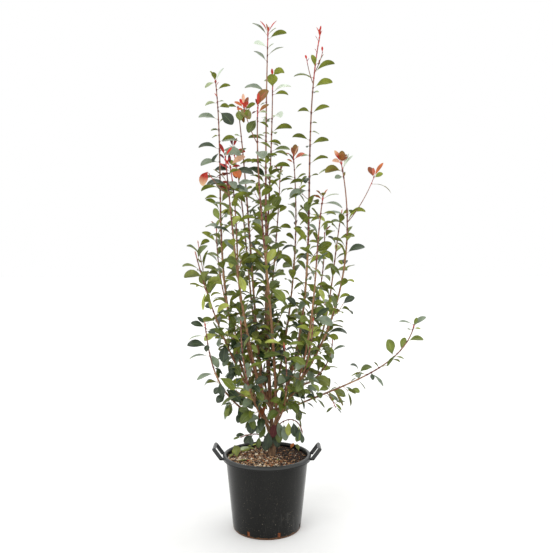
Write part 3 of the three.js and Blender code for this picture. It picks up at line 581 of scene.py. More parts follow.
def hung_leaf(place, rise, level, size, droop, roll, width):
    """A leaf whose stalk rises in the given direction, and whose blade bends down from it."""
    near = unit(rise + DOWN * droop * STALK_DROOP)
    far = unit(near + DOWN * droop)
    half = BLADE * size / 2
    base = place + rise * STALK * min(1, 0.2 + 0.8 * size**1.5)  # a small leaf has a short stalk
    middle = base + near * half
    return SimpleNamespace(place=place, rise=rise, base=base, middle=middle, tip=middle + far * half,
                           broad=turned(level, near, roll), half=half, width=width)


def leaf_at(place, frame_at, turn, size, lift, droop, roll, width=BLADE_WIDTH):
    """A leaf that leaves the stem outward and up, arches over, and hangs by its weight."""
    tangent = frame_at[0]
    out = outward(frame_at, turn)
    rise = out * math.cos(lift) + tangent * math.sin(lift)
    return hung_leaf(place, rise, np.cross(tangent, out), size, droop, roll, width)


def keep_leaf(leaf, kind, seed, whip_name):
    leaf.kind, leaf.seed, leaf.whip = kind, seed, whip_name
    leaves.append(leaf)


def add_leaf(whip, place, frame_at, kind, seed, habit):
    """One leaf, if there is room for it: where it meets wood it is turned, is smaller, or is left out."""
    for turn, size in TRIES:
        tried = dict(habit, turn=habit["turn"] + turn, size=habit["size"] * size)
        leaf = leaf_at(place, frame_at, **tried)
        edge = leaf.broad * leaf.half * leaf.width
        sides = [leaf.middle + edge, leaf.middle - edge]
        between = [mix(leaf.base, side, 0.5) for side in sides]
        between += [mix(corner, leaf.tip, 0.5) for corner in (leaf.middle, *sides)]
        if has_room([leaf.middle, leaf.tip, *sides, *between], whip):
            keep_leaf(leaf, kind, seed, whip.name)
            return leaf
    return None


def add_bud(curve, radius, u, out):
    buds.append(SimpleNamespace(curve=curve, place=curve.point(u), out=out, radius=radius(u), u=u))


# The second share is of grown leaves whose grey-green upper side is a painted reflection of the bright sky.
LIME_SHARE, PAINTED_SHEEN_SHARE = 0.05, 0.22  # of the grown leaves


def green_kind(height, age, draw):
    """A grown leaf's kind: darker low in the crown and near a whip's foot, and fresher towards the tips."""
    fresh = 0.19 + 0.16 * age
    deep = max(0.12, 0.40 - 0.00018 * height - 0.12 * age)
    if draw < fresh:
        return "fresh"
    if draw < fresh + LIME_SHARE:
        return "lime"
    # Some grown leaves get the kind whose grey-green upper side is a painted sky reflection.
    if draw < fresh + LIME_SHARE + PAINTED_SHEEN_SHARE:
        return "silver"
    return "deep" if draw > 1 - deep else "green"


def on_old_wood(place):
    """Whether a place is low and close to the fork of the trunk."""
    fork = np.array(TRUNK["tip"])
    return place[2] < OLD_WOOD_TOP and np.hypot(*(place - fork)[:2]) < OLD_WOOD_REACH


def grow_leaves(whip, key, curve, start, end, radius, below=math.inf):
    """Leaves between two places on a curve, closer together near its foot, and only up to a height. The key
    seeds their differences."""
    count = math.floor((end - start) * curve.length / LEAF_SPACING + 0.5)
    for i in range(count):
        draw = partial(chance, key, i)
        share = (i + mix(0.3, 0.7, draw(1))) / count
        u = start + (end - start) * share * (1 - CROWDING + CROWDING * share)
        place = curve.point(u)
        if place[2] > below or on_old_wood(place):
            continue
        habit = dict(
            turn=i * LEAF_TURN + math.radians(40 * draw(2)) + key,
            size=mix(1.05, 0.89, u) * mix(0.72, 1.14, draw(3)),
            lift=mix(0.45, 0.95, draw(4)) + 0.15 * min(1, u * 2),
            droop=mix(0.3, 0.65, draw(5)) + 0.35 * max(0, 1 - 2 * u),
            roll=mix(-0.85, 0.85, draw(6)),
            width=BLADE_WIDTH * mix(0.74, 1.04, draw(10)),
        )
        kind = green_kind(place[2], u, draw(11))
        leaf = add_leaf(whip, place, curve.frame(u), kind, key * 100 + i, habit)
        if leaf is not None:
            add_bud(curve, radius, u, leaf.rise)


def set_leaves(name, curve, radius, key):
    """The leaves that are set one by one on a piece of wood or on a side shoot."""
    shares = np.linspace(0, 1, Curve.DIVISIONS + 1)
    heights = curve.point(shares)[:, 2]
    for i, (height, heading, rise, size, kind, *more) in enumerate(SET_LEAVES.get(name, [])):
        face, width, droop = (*more, *USUAL_SET[len(more):])
        u = height if height <= 1 else float(np.interp(height, heights, shares))
        way, climb = math.radians(heading), math.radians(rise)
        level = vector(-math.sin(way), math.cos(way), 0)
        ahead = vector(math.cos(way) * math.cos(climb), math.sin(way) * math.cos(climb), math.sin(climb))
        droop *= 0.2 + 0.8 * math.cos(climb) * size  # a steep or small leaf droops less
        roll = (face + mix(-0.15, 0.15, chance(key, i, 31))) * math.cos(way)
        leaf = hung_leaf(curve.point(u), ahead, level, size, droop, roll, width)
        keep_leaf(leaf, kind, SET_SEED + key * 100 + i, name.split()[0])
        add_bud(curve, radius, u, ahead)


def lowest_set(name):
    """The height above which a whip or shoot has only the leaves that are set one by one."""
    return min((entry[0] for entry in SET_LEAVES.get(name, [])), default=math.inf)


def side_twig(whip, at, turn, length, spread, rise):
    """The curve of a twig that leaves the whip outward and turns up, or None where it would meet wood."""
    foot, frame_at = whip.curve.point(at), whip.curve.frame(at)
    out, ahead = outward(frame_at, turn) * length, frame_at[0] * length
    curve = Curve(foot, foot + out * (spread - 0.15) + ahead * 0.2, foot + out * spread + ahead * rise)
    return curve if has_room(curve.point(np.array([0.3, 0.5, 0.7, 0.85, 1])), whip) else None


TWIG_TURN = 2.4  # round a whip, for each step of the key


def grow_twig(whip, key, at):
    """A side twig with leaves of its own."""
    length = TWIG_LENGTH * mix(0.75, 1.25, chance(key, 0, 9))
    curve = side_twig(whip, at, TWIG_TURN * key, length, *TWIG_END)
    if curve is None:
        return
    radius = taper(TWIG_RADIUS, TIP_RADIUS / 2)
    twigs.append(SimpleNamespace(curve=curve, radius=radius))
    grow_leaves(whip, key, curve, TWIG_LEAFY_FROM, 1, radius)


def grow_spur(whip, key, at):
    """A short twig with a few smaller leaves at its end."""
    length = SPUR_LENGTH * mix(0.6, 1.4, chance(key, 1, 9))
    curve = side_twig(whip, at, TWIG_TURN * key, length, *SPUR_END)
    if curve is None or on_old_wood(whip.curve.point(at)):
        return
    twigs.append(SimpleNamespace(curve=curve, radius=taper(SPUR_RADIUS, SPUR_TIP_RADIUS)))
    for i, u in enumerate(SPUR_LEAVES):
        draw = partial(chance, key, i)
        habit = dict(
            turn=LEAF_TURN * i + key,
            size=mix(0.5, 0.85, draw(10)),
            lift=mix(0.5, 0.9, draw(11)),
            droop=mix(0.35, 0.75, draw(12)),
            roll=mix(-0.7, 0.7, draw(13)),
        )
        place = curve.point(u)
        kind = green_kind(place[2], at, draw(14))
        add_leaf(whip, place, curve.frame(u), kind, key * 100 + i, habit)


# Each part of a whip adds one of these to the whip's key, so that it draws numbers of its own.
MORE_KEY, SHOOT_KEY, TWIG_KEY, SPUR_KEY, LOW_SPUR_KEY, LIMB_KEY = 30, 40, 100, 300, 500, 70
SHOOT_KEY_STEP, TWIG_KEY_STEP, SPUR_KEY_STEP = 10, 30, 7
SET_SEED, LITTER_SEED = 5000, 9000  # of the leaves that are set, and of the fallen ones


def grow_foliage(whip, key):
    """A whip's leaves, side shoots, side twigs and spurs."""
    curve, start = whip.curve, whip.bare_to
    first, below = start + FIRST_LEAF / curve.length, lowest_set(whip.name)
    grow_leaves(whip, key, curve, first, LEAFY_TO, whip.radius, below - BELOW_SET)
    set_leaves(whip.name, curve, whip.radius, key)
    set_leaves(whip.name + " more", curve, whip.radius, key + MORE_KEY)
    for k, shoot in enumerate(whip.shoots):
        shoot_key = key + SHOOT_KEY + SHOOT_KEY_STEP * k
        name = whip.name + " shoot" + ("" if k == 0 else str(k + 1))
        grow_leaves(whip, shoot_key, shoot.curve, shoot.leafy_from, SHOOT_LEAFY_TO, SHOOT_TAPER,
                    lowest_set(name) - BELOW_SET)
        set_leaves(name, shoot.curve, SHOOT_TAPER, shoot_key)

    twig_room = (TWIGS_TO - start) * curve.length
    count = math.floor(twig_room / (LEAF_SPACING * TWIG_EVERY))
    for k in range(count):
        at = start + (TWIGS_TO - start) * (k + 0.6) / count
        if curve.point(at)[2] < below:
            grow_twig(whip, key + TWIG_KEY + TWIG_KEY_STEP * k, at)
    for k in range(math.floor(twig_room / SPUR_SPACING)):
        share = (k + mix(0.2, 0.8, chance(key, k, 20))) * SPUR_SPACING / twig_room
        at = start + (TWIGS_TO - start) * share
        if curve.point(at)[2] < HIGHEST_SPUR:
            grow_spur(whip, key + SPUR_KEY + SPUR_KEY_STEP * k, at)
    bare_length = start * curve.length
    for k in range(math.floor(bare_length / LOW_SPUR_SPACING)):
        share = (k + chance(key, k, 21)) * LOW_SPUR_SPACING / bare_length
        grow_spur(whip, key + LOW_SPUR_KEY + SPUR_KEY_STEP * k, start * mix(0.25, 1, share))


for key, whip in enumerate(whips, 1):
    grow_foliage(whip, key)
for key, name in enumerate(("limb_left", "limb_right", "limb_cross"), LIMB_KEY):
    set_leaves(name, wood[name].curve, wood[name].radius, key)

# ---- Meshes ----


def mesh_of(name, points, faces):
    """A mesh from points in millimetres."""
    mesh = bpy.data.meshes.new(name)
    mesh.from_pydata((np.asarray(points) * MM).tolist(), [], faces)
    return mesh


def placed(name, data):
    """An object that is in the scene."""
    made = bpy.data.objects.new(name, data)
    bpy.context.scene.collection.objects.link(made)
    return made


def evaluated(thing):
    """The mesh of an object after its modifiers."""
    return bpy.data.meshes.new_from_object(thing.evaluated_get(bpy.context.evaluated_depsgraph_get()))


def move_points(mesh, points):
    mesh.vertices.foreach_set("co", points.astype(np.float32).ravel())


def dress(name, mesh, materials, nodes=(), sharp=None):
    """A piece that rides on the root body and stands for the named solids."""
    for material in materials:
        mesh.materials.append(material)
    mesh.polygons.foreach_set("use_smooth", np.ones(len(mesh.polygons), bool))
    if sharp is not None:
        mesh.set_sharp_from_angle(angle=math.radians(sharp))
    mesh.update()
    piece = placed(name, mesh)
    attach(piece, "root")
    if nodes:
        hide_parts(*nodes)


def ring_faces(rings, sides):
    """The faces between rings of points that follow each other."""
    faces = []
    for i in range(rings - 1):
        for j in range(sides):
            a, b = i * sides + j, i * sides + (j + 1) % sides
            faces.append((a, b, b + sides, a + sides))
    return faces


def tube_faces(rings, sides):
    """The faces from ring to ring, then the two ends."""
    last = (rings - 1) * sides
    return [*ring_faces(rings, sides), tuple(range(sides))[::-1], tuple(range(last, last + sides))]


def circle(sides):
    angles = 2 * np.pi * np.arange(sides) / sides
    return np.cos(angles), np.sin(angles)


def tube_points(centres, across, side, radii, sides):
    """Rings of points round the centres. The directions across are one for each ring, or one for all."""
    cos, sin = circle(sides)
    ring = cos[None, :, None] * across[..., None, :] + sin[None, :, None] * side[..., None, :]
    return (centres[:, None] + ring * radii[:, None, None]).reshape(-1, 3)


class Shape:
    """Points and faces of one piece, gathered part by part."""

    def __init__(self):
        self.points, self.faces, self.finish, self.count = [], [], [], 0

    def add(self, points, faces, finish=0):
        self.points.append(points)
        self.faces += [tuple(v + self.count for v in face) for face in faces]
        self.finish += finish if isinstance(finish, list) else [finish] * len(faces)
        self.count += len(points)

    def add_tube(self, curve, start, end, radius, sides, step, nodes=(), finish=0):
        """A stem that swells at its nodes. Its finish may be a function of the place."""
        rings = max(3, math.ceil((end - start) * curve.length / step) + 1)
        u = np.linspace(start, end, rings)
        radii = radius(u) * np.ones(rings)
        for node in nodes:
            radii *= 1 + NODE_SWELLING * np.exp(-(((u - node) * curve.length / NODE_LENGTH) ** 2))
        if callable(finish):
            by_ring = [finish(v) for v in (u[:-1] + u[1:]) / 2]
            finish = [zone for zone in by_ring for _ in range(sides)] + [by_ring[0], by_ring[-1]]
        _, across, side = curve.frame(u)
        self.add(tube_points(curve.point(u), across, side, radii, sides), tube_faces(rings, sides), finish)

    def add_spindle(self, centres, axis, hint, radii, sides, finish=0):
        """A small tube whose rings all stand across one axis."""
        across = unit(np.cross(axis, hint))
        points = tube_points(centres, across, np.cross(axis, across), radii, sides)
        self.add(points, tube_faces(len(centres), sides), finish)

    def mesh(self, name):
        mesh = mesh_of(name, np.concatenate(self.points), self.faces)
        mesh.polygons.foreach_set("material_index", np.array(self.finish, np.int32))
        return mesh


# ---- Blades ----

# A blade's cross-section from edge to edge, and its stations from base to tip, as shares.
ACROSS = np.array([-1, -0.55, 0, 0.55, 1])
STATIONS = np.array([0.06, 0.16, 0.29, 0.43, 0.57, 0.7, 0.82, 0.91, 0.97])
RIB = 0.5  # how far the midrib stands out below
TWIST, UNTWISTED = 0.5, 0.3  # from base to tip, and the share of the blade where there is none
# The slope of a blade's halves from the midrib, how much it differs, and how much is added high in the crown.
FOLD, FOLD_SPREAD, HIGH_FOLD = 0.2, 0.25, 0.15
LOW_CROWN, HIGH_CROWN = 700, 1700
BULGE = 0.1  # how far the edges curve down again, of half the width
RIPPLES, RIPPLE = 2.2, 0.03  # waves along an edge, and their height, of half the blade's length
UV_NAME = "blade"


def blade_faces():
    """The faces of one blade, upper side then underside. Its points are the base, the tip, the upper points
    from station to station, and the inner points of the underside."""
    stations, across = len(STATIONS), len(ACROSS)
    upper = 2 + np.arange(stations * across).reshape(stations, across)
    under = upper.copy()
    under[:, 1:-1] = 2 + stations * across + np.arange(stations * (across - 2)).reshape(stations, -1)
    faces, finish = [], []
    for side, grid in enumerate((upper, under)):
        for j in range(across - 1):
            rows = [(grid[0, j], 0, grid[0, j + 1])]
            for i in range(stations - 1):
                near, far = grid[i, j], grid[i + 1, j + 1]
                rows += [(near, grid[i, j + 1], far), (near, far, grid[i + 1, j])]
            rows += [(grid[-1, j], grid[-1, j + 1], 1)]
            faces += [row if side == 0 else row[::-1] for row in rows]
            finish += [side] * len(rows)
    return faces, finish


def outline(t):
    """Half the blade's width at a station, as a share: tapered at the base, and rounder at the tip."""
    return np.sin(np.pi * t**1.25) ** (1.0 - 0.4 * t)


def blades(group):
    """The points of all the blades of a group of leaves, one row of points for each."""
    seed = np.array([leaf.seed for leaf in group], float)
    half = np.array([leaf.half for leaf in group])[:, None, None]
    width = half * np.array([leaf.width for leaf in group])[:, None, None]
    base, middle, tip, broad = (np.array([getattr(leaf, name) for leaf in group])[:, None]
                                for name in ("base", "middle", "tip", "broad"))

    def draw(salt):
        wave = np.sin(seed * 12.9898 + salt * 78.233) * HASH_SCALE
        return (wave - np.floor(wave))[:, None, None]

    # The centre line, and the directions across the blade and out of it, by leaf, station and axis.
    bend = 2 * middle - (base + tip) / 2
    t = STATIONS[None, :, None]
    centre = bent(base, bend, tip, t)
    tangent = unit(mix(bend - base, tip - bend, t))
    flat = unit(broad - tangent * (tangent * broad).sum(-1, keepdims=True))
    normal = np.cross(tangent, flat)
    twist = TWIST * (draw(1) - 0.5) * (t - UNTWISTED)
    flat, normal = (flat * np.cos(twist) + normal * np.sin(twist),
                    normal * np.cos(twist) - flat * np.sin(twist))

    # Heights over the flat blade, by leaf, station and place across: a fold, a bulge and a rippled edge.
    reach = width * outline(t)
    s = ACROSS[None, None, :]
    high = np.clip((base[..., 2:] - LOW_CROWN) / (HIGH_CROWN - LOW_CROWN), 0, 1)
    fold = FOLD + FOLD_SPREAD * draw(2) + HIGH_FOLD * high
    ripple = np.sin(2 * np.pi * (RIPPLES * t + draw(4)) + s) * np.abs(s) ** 2 * outline(t)
    height = fold * np.abs(s) * reach - BULGE * reach * s**2 + RIPPLE * half * draw(3) * ripple
    half_thick = BLADE_THICK / 2 * (1 - s**2)
    rib = np.where(np.abs(ACROSS) < 0.01, RIB, 0)
    flat_points = centre[:, :, None] + (s * reach)[..., None] * flat[:, :, None]
    upper = flat_points + (height + half_thick)[..., None] * normal[:, :, None]
    under = flat_points + (height - half_thick - rib)[..., None] * normal[:, :, None]
    count = len(group)
    return np.concatenate(
        [base, tip, upper.reshape(count, -1, 3), under[:, :, 1:-1].reshape(count, -1, 3)], axis=1)


def blade_uv():
    """Where each of a blade's points lies on it: its share of the length, and its place across."""
    along, across = np.meshgrid(STATIONS, ACROSS / 2 + 0.5, indexing="ij")
    grid = np.stack([along, across], -1)
    return np.concatenate([[[0, 0.5], [1, 0.5]], grid.reshape(-1, 2), grid[:, 1:-1].reshape(-1, 2)])


def repeated(faces, count, step):
    """The faces of one thing, for as many of them, whose points follow each other."""
    return [tuple(int(v) + k * step for v in face) for k in range(count) for face in faces]


def leaf_piece(name, group, materials, nodes):
    faces, finish = blade_faces()
    points = blades(group)
    mesh = mesh_of(name, points.reshape(-1, 3), repeated(faces, len(group), points.shape[1]))
    mesh.polygons.foreach_set("material_index", np.array(finish * len(group), np.int32))
    corner = np.empty(len(mesh.loops), np.int32)
    mesh.loops.foreach_get("vertex_index", corner)
    uv = np.tile(blade_uv(), (len(group), 1)).astype(np.float32)
    mesh.uv_layers.new(name=UV_NAME).data.foreach_set("uv", uv[corner].ravel())
    dress(name, mesh, materials, nodes, 70)


# ---- Materials ----

BLACK = (0, 0, 0)


class Look:
    """A material, and the nodes that it is built from."""

    def __init__(self, name, colour, roughness, specular=0.5):
        self.material = bpy.data.materials.new(name)
        self.material.use_nodes = True
        self.tree = self.material.node_tree
        self.shader = self.tree.nodes["Principled BSDF"]
        self.put(self.shader.inputs["Base Color"], colour)
        self.put(self.shader.inputs["Roughness"], roughness)
        self.put(self.shader.inputs["Specular IOR Level"], specular)

    def put(self, socket, value):
        """A number, a colour, a vector or another node's output on a socket."""
        if isinstance(value, bpy.types.NodeSocket):
            self.tree.links.new(value, socket)
        elif socket.type == "RGBA":
            socket.default_value = (*value, 1)
        else:
            socket.default_value = value

    def node(self, kind, **values):
        made = self.tree.nodes.new("ShaderNode" + kind)
        for socket, value in values.items():
            self.put(made.inputs[socket], value)
        return made

    def place(self):
        """The piece's own place in the object, in metres."""
        return self.node("TexCoord").outputs["Object"]

    def parts(self, place):
        return self.node("SeparateXYZ", Vector=place).outputs

    def noise(self, scale, detail=3.0, roughness=0.5, stretch=(1, 1, 1), lean=0.0):
        """Noise over the place, stretched by axis and leant about the Y axis."""
        mapping = self.node("Mapping", Vector=self.place(), Scale=stretch, Rotation=(0, lean, 0))
        pattern = self.node("TexNoise", Vector=mapping.outputs["Vector"], Scale=scale, Detail=detail,
                            Roughness=roughness)
        return pattern.outputs["Fac"]

    def ramp(self, value, *stops):
        """A colour ramp over a value, from (place, colour) stops."""
        ramp = self.node("ValToRGB", Fac=value)
        while len(ramp.color_ramp.elements) < len(stops):
            ramp.color_ramp.elements.new(0.5)
        for element, (place, colour) in zip(ramp.color_ramp.elements, stops):
            element.position = place
            element.color = (*colour, 1)
        return ramp.outputs["Color"]

    def mask(self, value, start, end, most):
        """A grey that is 0 where the value is below start, and rises to most at end."""
        return self.ramp(value, (start, BLACK), (end, (most, most, most)))

    def mixed(self, share, a, b):
        """Colour a where share is 0 and b where it is 1."""
        node = self.node("Mix")
        node.data_type = "RGBA"
        for socket, colour in zip([s for s in node.inputs if s.type == "RGBA"], (a, b)):
            self.put(socket, colour)
        self.put(node.inputs["Factor"], share)
        return next(s for s in node.outputs if s.type == "RGBA")

    def maths(self, operation, *values):
        node = self.node("Math")
        node.operation = operation
        for socket, value in zip(node.inputs, values):
            self.put(socket, value)
        return node.outputs[0]

    def times(self, a, b):
        return self.maths("MULTIPLY", a, b)

    def finish(self, colour, bump, strength, distance, roughness=None):
        """The shader's colour, relief and roughness, and the material itself."""
        self.put(self.shader.inputs["Base Color"], colour)
        if roughness is not None:
            self.put(self.shader.inputs["Roughness"], roughness)
        relief = self.node("Bump", Strength=strength, Distance=distance, Height=bump)
        self.put(self.shader.inputs["Normal"], relief.outputs["Normal"])
        return self.material


def shade(colour, factor, lift=0.0):
    return tuple(min(1, c * factor + lift) for c in colour)


# Each kind of leaf: the colours of its upper side, its underside and its midrib. An underside is paler than
# the upper side, as the real leaf's is, and brighter yellow-green still as painted light shining through the
# blade.
LEAF_KINDS = {
    "deep": ((0.023, 0.042, 0.015), (0.120, 0.140, 0.026), (0.11, 0.15, 0.06)),
    "green": ((0.090, 0.120, 0.021), (0.160, 0.186, 0.028), (0.18, 0.23, 0.08)),
    "fresh": ((0.145, 0.185, 0.026), (0.230, 0.265, 0.042), (0.28, 0.32, 0.11)),
    "lime": ((0.340, 0.380, 0.070), (0.380, 0.420, 0.100), (0.42, 0.46, 0.20)),
    # Painted sky reflection: this kind's grey-green upper side stands for the bright sky mirrored in a glossy
    # dark green leaf.
    "silver": ((0.135, 0.180, 0.108), (0.190, 0.215, 0.060), (0.22, 0.27, 0.13)),
    # Painted sky reflection: this kind is whitish green for the glare of the bright sky on glossy leaves high
    # in the crown.
    "pale": ((0.500, 0.580, 0.460), (0.42, 0.49, 0.290), (0.55, 0.60, 0.42)),
    "olive": ((0.160, 0.145, 0.026), (0.19, 0.17, 0.034), (0.35, 0.10, 0.05)),
    "umber": ((0.250, 0.090, 0.014), (0.270, 0.115, 0.018), (0.50, 0.05, 0.03)),
    "bronze": ((0.230, 0.062, 0.016), (0.22, 0.085, 0.022), (0.42, 0.06, 0.03)),
    "copper": ((0.420, 0.110, 0.060), (0.42, 0.15, 0.085), (0.50, 0.09, 0.06)),
    "flame": ((0.360, 0.024, 0.014), (0.42, 0.10, 0.050), (0.55, 0.10, 0.05)),
    "orange": ((0.480, 0.120, 0.022), (0.46, 0.16, 0.040), (0.55, 0.12, 0.05)),
    "red": ((0.260, 0.018, 0.011), (0.29, 0.038, 0.022), (0.42, 0.03, 0.03)),
    "scarlet": ((0.500, 0.026, 0.016), (0.52, 0.060, 0.038), (0.65, 0.08, 0.06)),
    "wine": ((0.085, 0.014, 0.014), (0.13, 0.030, 0.026), (0.18, 0.05, 0.04)),
    "blush": ((0.680, 0.400, 0.260), (0.70, 0.46, 0.300), (0.75, 0.30, 0.22)),
}
TIP_COLOURS = {"flame": (0.74, 0.52, 0.30), "umber": (0.17, 0.12, 0.018)}  # towards the blade's tip
LEAF_GLOSS = {
    "silver": 0.8, "pale": 0.8, "deep": 0.5,
    "scarlet": 0.15, "red": 0.15, "flame": 0.15, "wine": 0.2,
}
USUAL_GLOSS, UNDER_GLOSS = 0.35, 0.1
UPPER_ROUGHNESS, UNDER_ROUGHNESS = 0.4, 0.62
VEINS, VEIN_LEAN, RIB_HALF_WIDTH = 11, 0.45, 0.02  # side veins along a blade, and how far they run forward


def leaf_side(name, colour, rib_colour, tip_colour, roughness, gloss):
    """One side of a leaf: its tone drifts from leaf to leaf, and its veins and paler midrib stand out."""
    look = Look(name, colour, roughness, gloss)
    uv = look.node("UVMap")
    uv.uv_map = UV_NAME
    along, across, _ = look.parts(uv.outputs["UV"])
    off_rib = look.maths("ABSOLUTE", look.maths("SUBTRACT", across, 0.5))
    forward = look.maths("SUBTRACT", along, look.times(off_rib, VEIN_LEAN))
    veins = look.times(look.maths("SINE", look.times(forward, 2 * math.pi * VEINS)), 0.3)
    rib = look.maths("LESS_THAN", off_rib, RIB_HALF_WIDTH)
    dark, light = shade(colour, 0.72), shade(colour, 1.32)
    tone = look.ramp(look.noise(22, 2), (0.3, dark), (0.5, colour), (0.7, light))
    if tip_colour is not None:
        tone = look.mixed(look.mask(along, 0.42, 0.95, 0.9), tone, tip_colour)
    rough = look.maths("MULTIPLY_ADD", look.noise(60, 2), 0.2, roughness - 0.1)
    relief = look.maths("SUBTRACT", veins, rib)
    return look.finish(look.mixed(rib, tone, rib_colour), relief, 0.35, 0.0006, rough)


def leaf_materials(kind):
    upper, under, rib = LEAF_KINDS[kind]
    tip, gloss = TIP_COLOURS.get(kind), LEAF_GLOSS.get(kind, USUAL_GLOSS)
    return [leaf_side(kind + "_upper", upper, rib, tip, UPPER_ROUGHNESS, gloss),
            leaf_side(kind + "_under", under, rib, tip, UNDER_ROUGHNESS, UNDER_GLOSS)]


def bark_material(name, colour, dark, grain, relief, roughness=0.7):
    """Bark with streaks along the stem, paler flecks and a fine relief."""
    look = Look(name, colour, roughness)
    streaks = look.noise(grain, 5, 0.6, (1, 1, 0.22))
    flecks = look.noise(grain * 2.5, 2, 0.5, (1, 1, 1.6))
    tone = look.ramp(streaks, (0.32, dark), (0.5, colour), (0.68, shade(colour, 1.45)))
    return look.finish(look.mixed(look.mask(flecks, 0.62, 0.7, 0.6), tone, shade(colour, 1.9, 0.02)),
                       streaks, 0.6, relief)


# ---- Wood ----

BROWN, RUSSET, ROSY, RED, NODE = range(5)
STEM_GRAIN, NODE_GRAIN, BUD_GRAIN = 160, 200, 300
ROSY_ABOVE, RUSSET_ABOVE, RUSSET_FROM = 1450, 950, 0.45  # two heights, and a share of a whip's length
SHOOT_RED_FROM = 0.8  # of a side shoot's length


def wood_materials():
    return [
        bark_material("stem_brown", (0.198, 0.086, 0.034), (0.10, 0.040, 0.022), STEM_GRAIN, 0.0006),
        bark_material("stem_russet", (0.30, 0.160, 0.078), (0.16, 0.062, 0.036), STEM_GRAIN, 0.0005),
        bark_material("stem_rosy", (0.250, 0.112, 0.064), (0.10, 0.026, 0.020), STEM_GRAIN, 0.0004, 0.6),
        bark_material("stem_red", (0.40, 0.040, 0.032), (0.14, 0.012, 0.012), STEM_GRAIN, 0.0003, 0.5),
        bark_material("stem_node", (0.130, 0.030, 0.022), (0.07, 0.014, 0.012), NODE_GRAIN, 0.0004, 0.6),
    ]


def bark_relief(place):
    """How far the bark stands out, in millimetres: upright ridges between cracks, and finer scales."""
    x, y, z = place
    ridge = 1 - abs(noise.noise(Vector((x * 150, y * 150, z * 34))))
    scale = noise.noise(Vector((x * 420, y * 420, z * 160 + 9)))
    return 1.5 * (ridge**3 - 0.55) + 0.35 * scale


def trunk_piece():
    """The trunk and limbs as one skin: their tubes are merged, and the bark's ridges are raised on it."""
    shape = Shape()
    for spec in [TRUNK, *LIMBS]:
        piece = wood[spec["name"]]
        shape.add_tube(piece.curve, 0, 1, piece.radius, sides=24, step=6)
    rough = placed("trunk_rough", shape.mesh("trunk_rough"))
    remesh = rough.modifiers.new("merged", "REMESH")
    remesh.mode = "VOXEL"
    remesh.voxel_size = 0.0015
    smooth = rough.modifiers.new("smooth", "SMOOTH")
    smooth.factor = 0.5
    smooth.iterations = 4
    merged = evaluated(rough)
    bpy.data.objects.remove(rough)
    points = np.array([v.co for v in merged.vertices], float)
    normals = np.array([v.normal for v in merged.vertices], float)
    points += normals * np.array([bark_relief(p) for p in points])[:, None] * MM
    points[:, 2] = np.maximum(points[:, 2], TRUNK["foot"][2] * MM)
    move_points(merged, points)
    material = bark_material("old_bark", (0.20, 0.115, 0.060), (0.055, 0.032, 0.020), 130, 0.0015, 0.85)
    dress("trunk_bark", merged, [material], ["trunk"] + [limb["name"] for limb in LIMBS])


def collared(whip):
    """A whip's radius, with the swollen collar where it leaves its limb."""
    def radius(u):
        swelling = COLLAR * np.exp(-np.asarray(u) * whip.curve.length / COLLAR_LENGTH)
        return whip.radius(u) * (1 + swelling)

    return radius


def swollen(radius):
    """A whip's radius, thicker towards its tip."""
    return lambda u: radius(u) + TIP_SWELLING * np.asarray(u)


def whip_zones(whip, nodes):
    """The finish of each place on a whip: brown wood at its foot, russet, then rosy with darker nodes, and
    red below its tip."""
    length = whip.curve.length
    red = RED_BARK.get(whip.name, USUAL_RED_BARK)

    def zone(u):
        height = whip.curve.point(u)[2]
        if (1 - u) * length < red:
            return RED
        if height > ROSY_ABOVE or whip.radius(u) < YOUNG_RADIUS:
            return NODE if any(abs(u - node) * length < NODE_REACH for node in nodes) else ROSY
        return RUSSET if height > RUSSET_ABOVE or u > RUSSET_FROM else BROWN

    return zone


def shoot_zone(u):
    return RED if u > SHOOT_RED_FROM else ROSY


def wood_pieces():
    finishes = wood_materials()
    stems, shoots, fine = Shape(), Shape(), Shape()
    for whip in whips:
        nodes = [bud.u for bud in buds if bud.curve is whip.curve]
        zones = whip_zones(whip, nodes)
        radius = collared(whip)
        if whip.bare_to > 0:
            stems.add_tube(whip.curve, 0, whip.bare_to, radius, sides=10, step=5, finish=zones)
            radius = whip.radius
        shoots.add_tube(whip.curve, whip.bare_to, 1, swollen(radius), sides=8, step=5, nodes=nodes,
                        finish=zones)
        for shoot in whip.shoots:
            fine.add_tube(shoot.curve, 0, 1, SHOOT_TAPER, sides=7, step=6, finish=shoot_zone)
    for twig in twigs:
        fine.add_tube(twig.curve, 0, 1, twig.radius, sides=6, step=7, finish=RUSSET)
    bare = ["stem_" + whip.name for whip in whips if whip.bare_to > 0]
    dress("bare_stems", stems.mesh("bare_stems"), finishes, bare)
    dress("leafy_stems", shoots.mesh("leafy_stems"), finishes, FOLIAGE)
    dress("side_twigs", fine.mesh("side_twigs"), finishes, FOLIAGE)


def stalk_piece():
    """The leaf stalks: each leaves the stem's side and runs into the blade."""
    shape = Shape()
    profile = np.array([1.35, 1, 0.9, 0.5])
    t = np.linspace(0, 1, len(profile))[:, None]
    for leaf in leaves:
        start = leaf.place
        end = leaf.base + unit(leaf.middle - leaf.base) * leaf.half * 0.12
        centres = bent(start, mix(start, leaf.base, 0.75), end, t)
        radii = STALK_RADIUS * min(1, 0.5 + leaf.half / BLADE) * profile
        shape.add_spindle(centres, unit(end - start), leaf.broad + 1e-3, radii, sides=5)
    material = bark_material("leaf_stalk", (0.30, 0.22, 0.095), (0.25, 0.07, 0.04), 90, 0.0002, 0.5)
    dress("leaf_stalks", shape.mesh("leaf_stalks"), [material], FOLIAGE)


SIDE_BUD, TIP_BUD, BARE_TIP_BUD = (7, 2.2), (9, 2.2), (17, 3.4)  # length and radius
BUD_RED, BUD_AMBER = range(2)


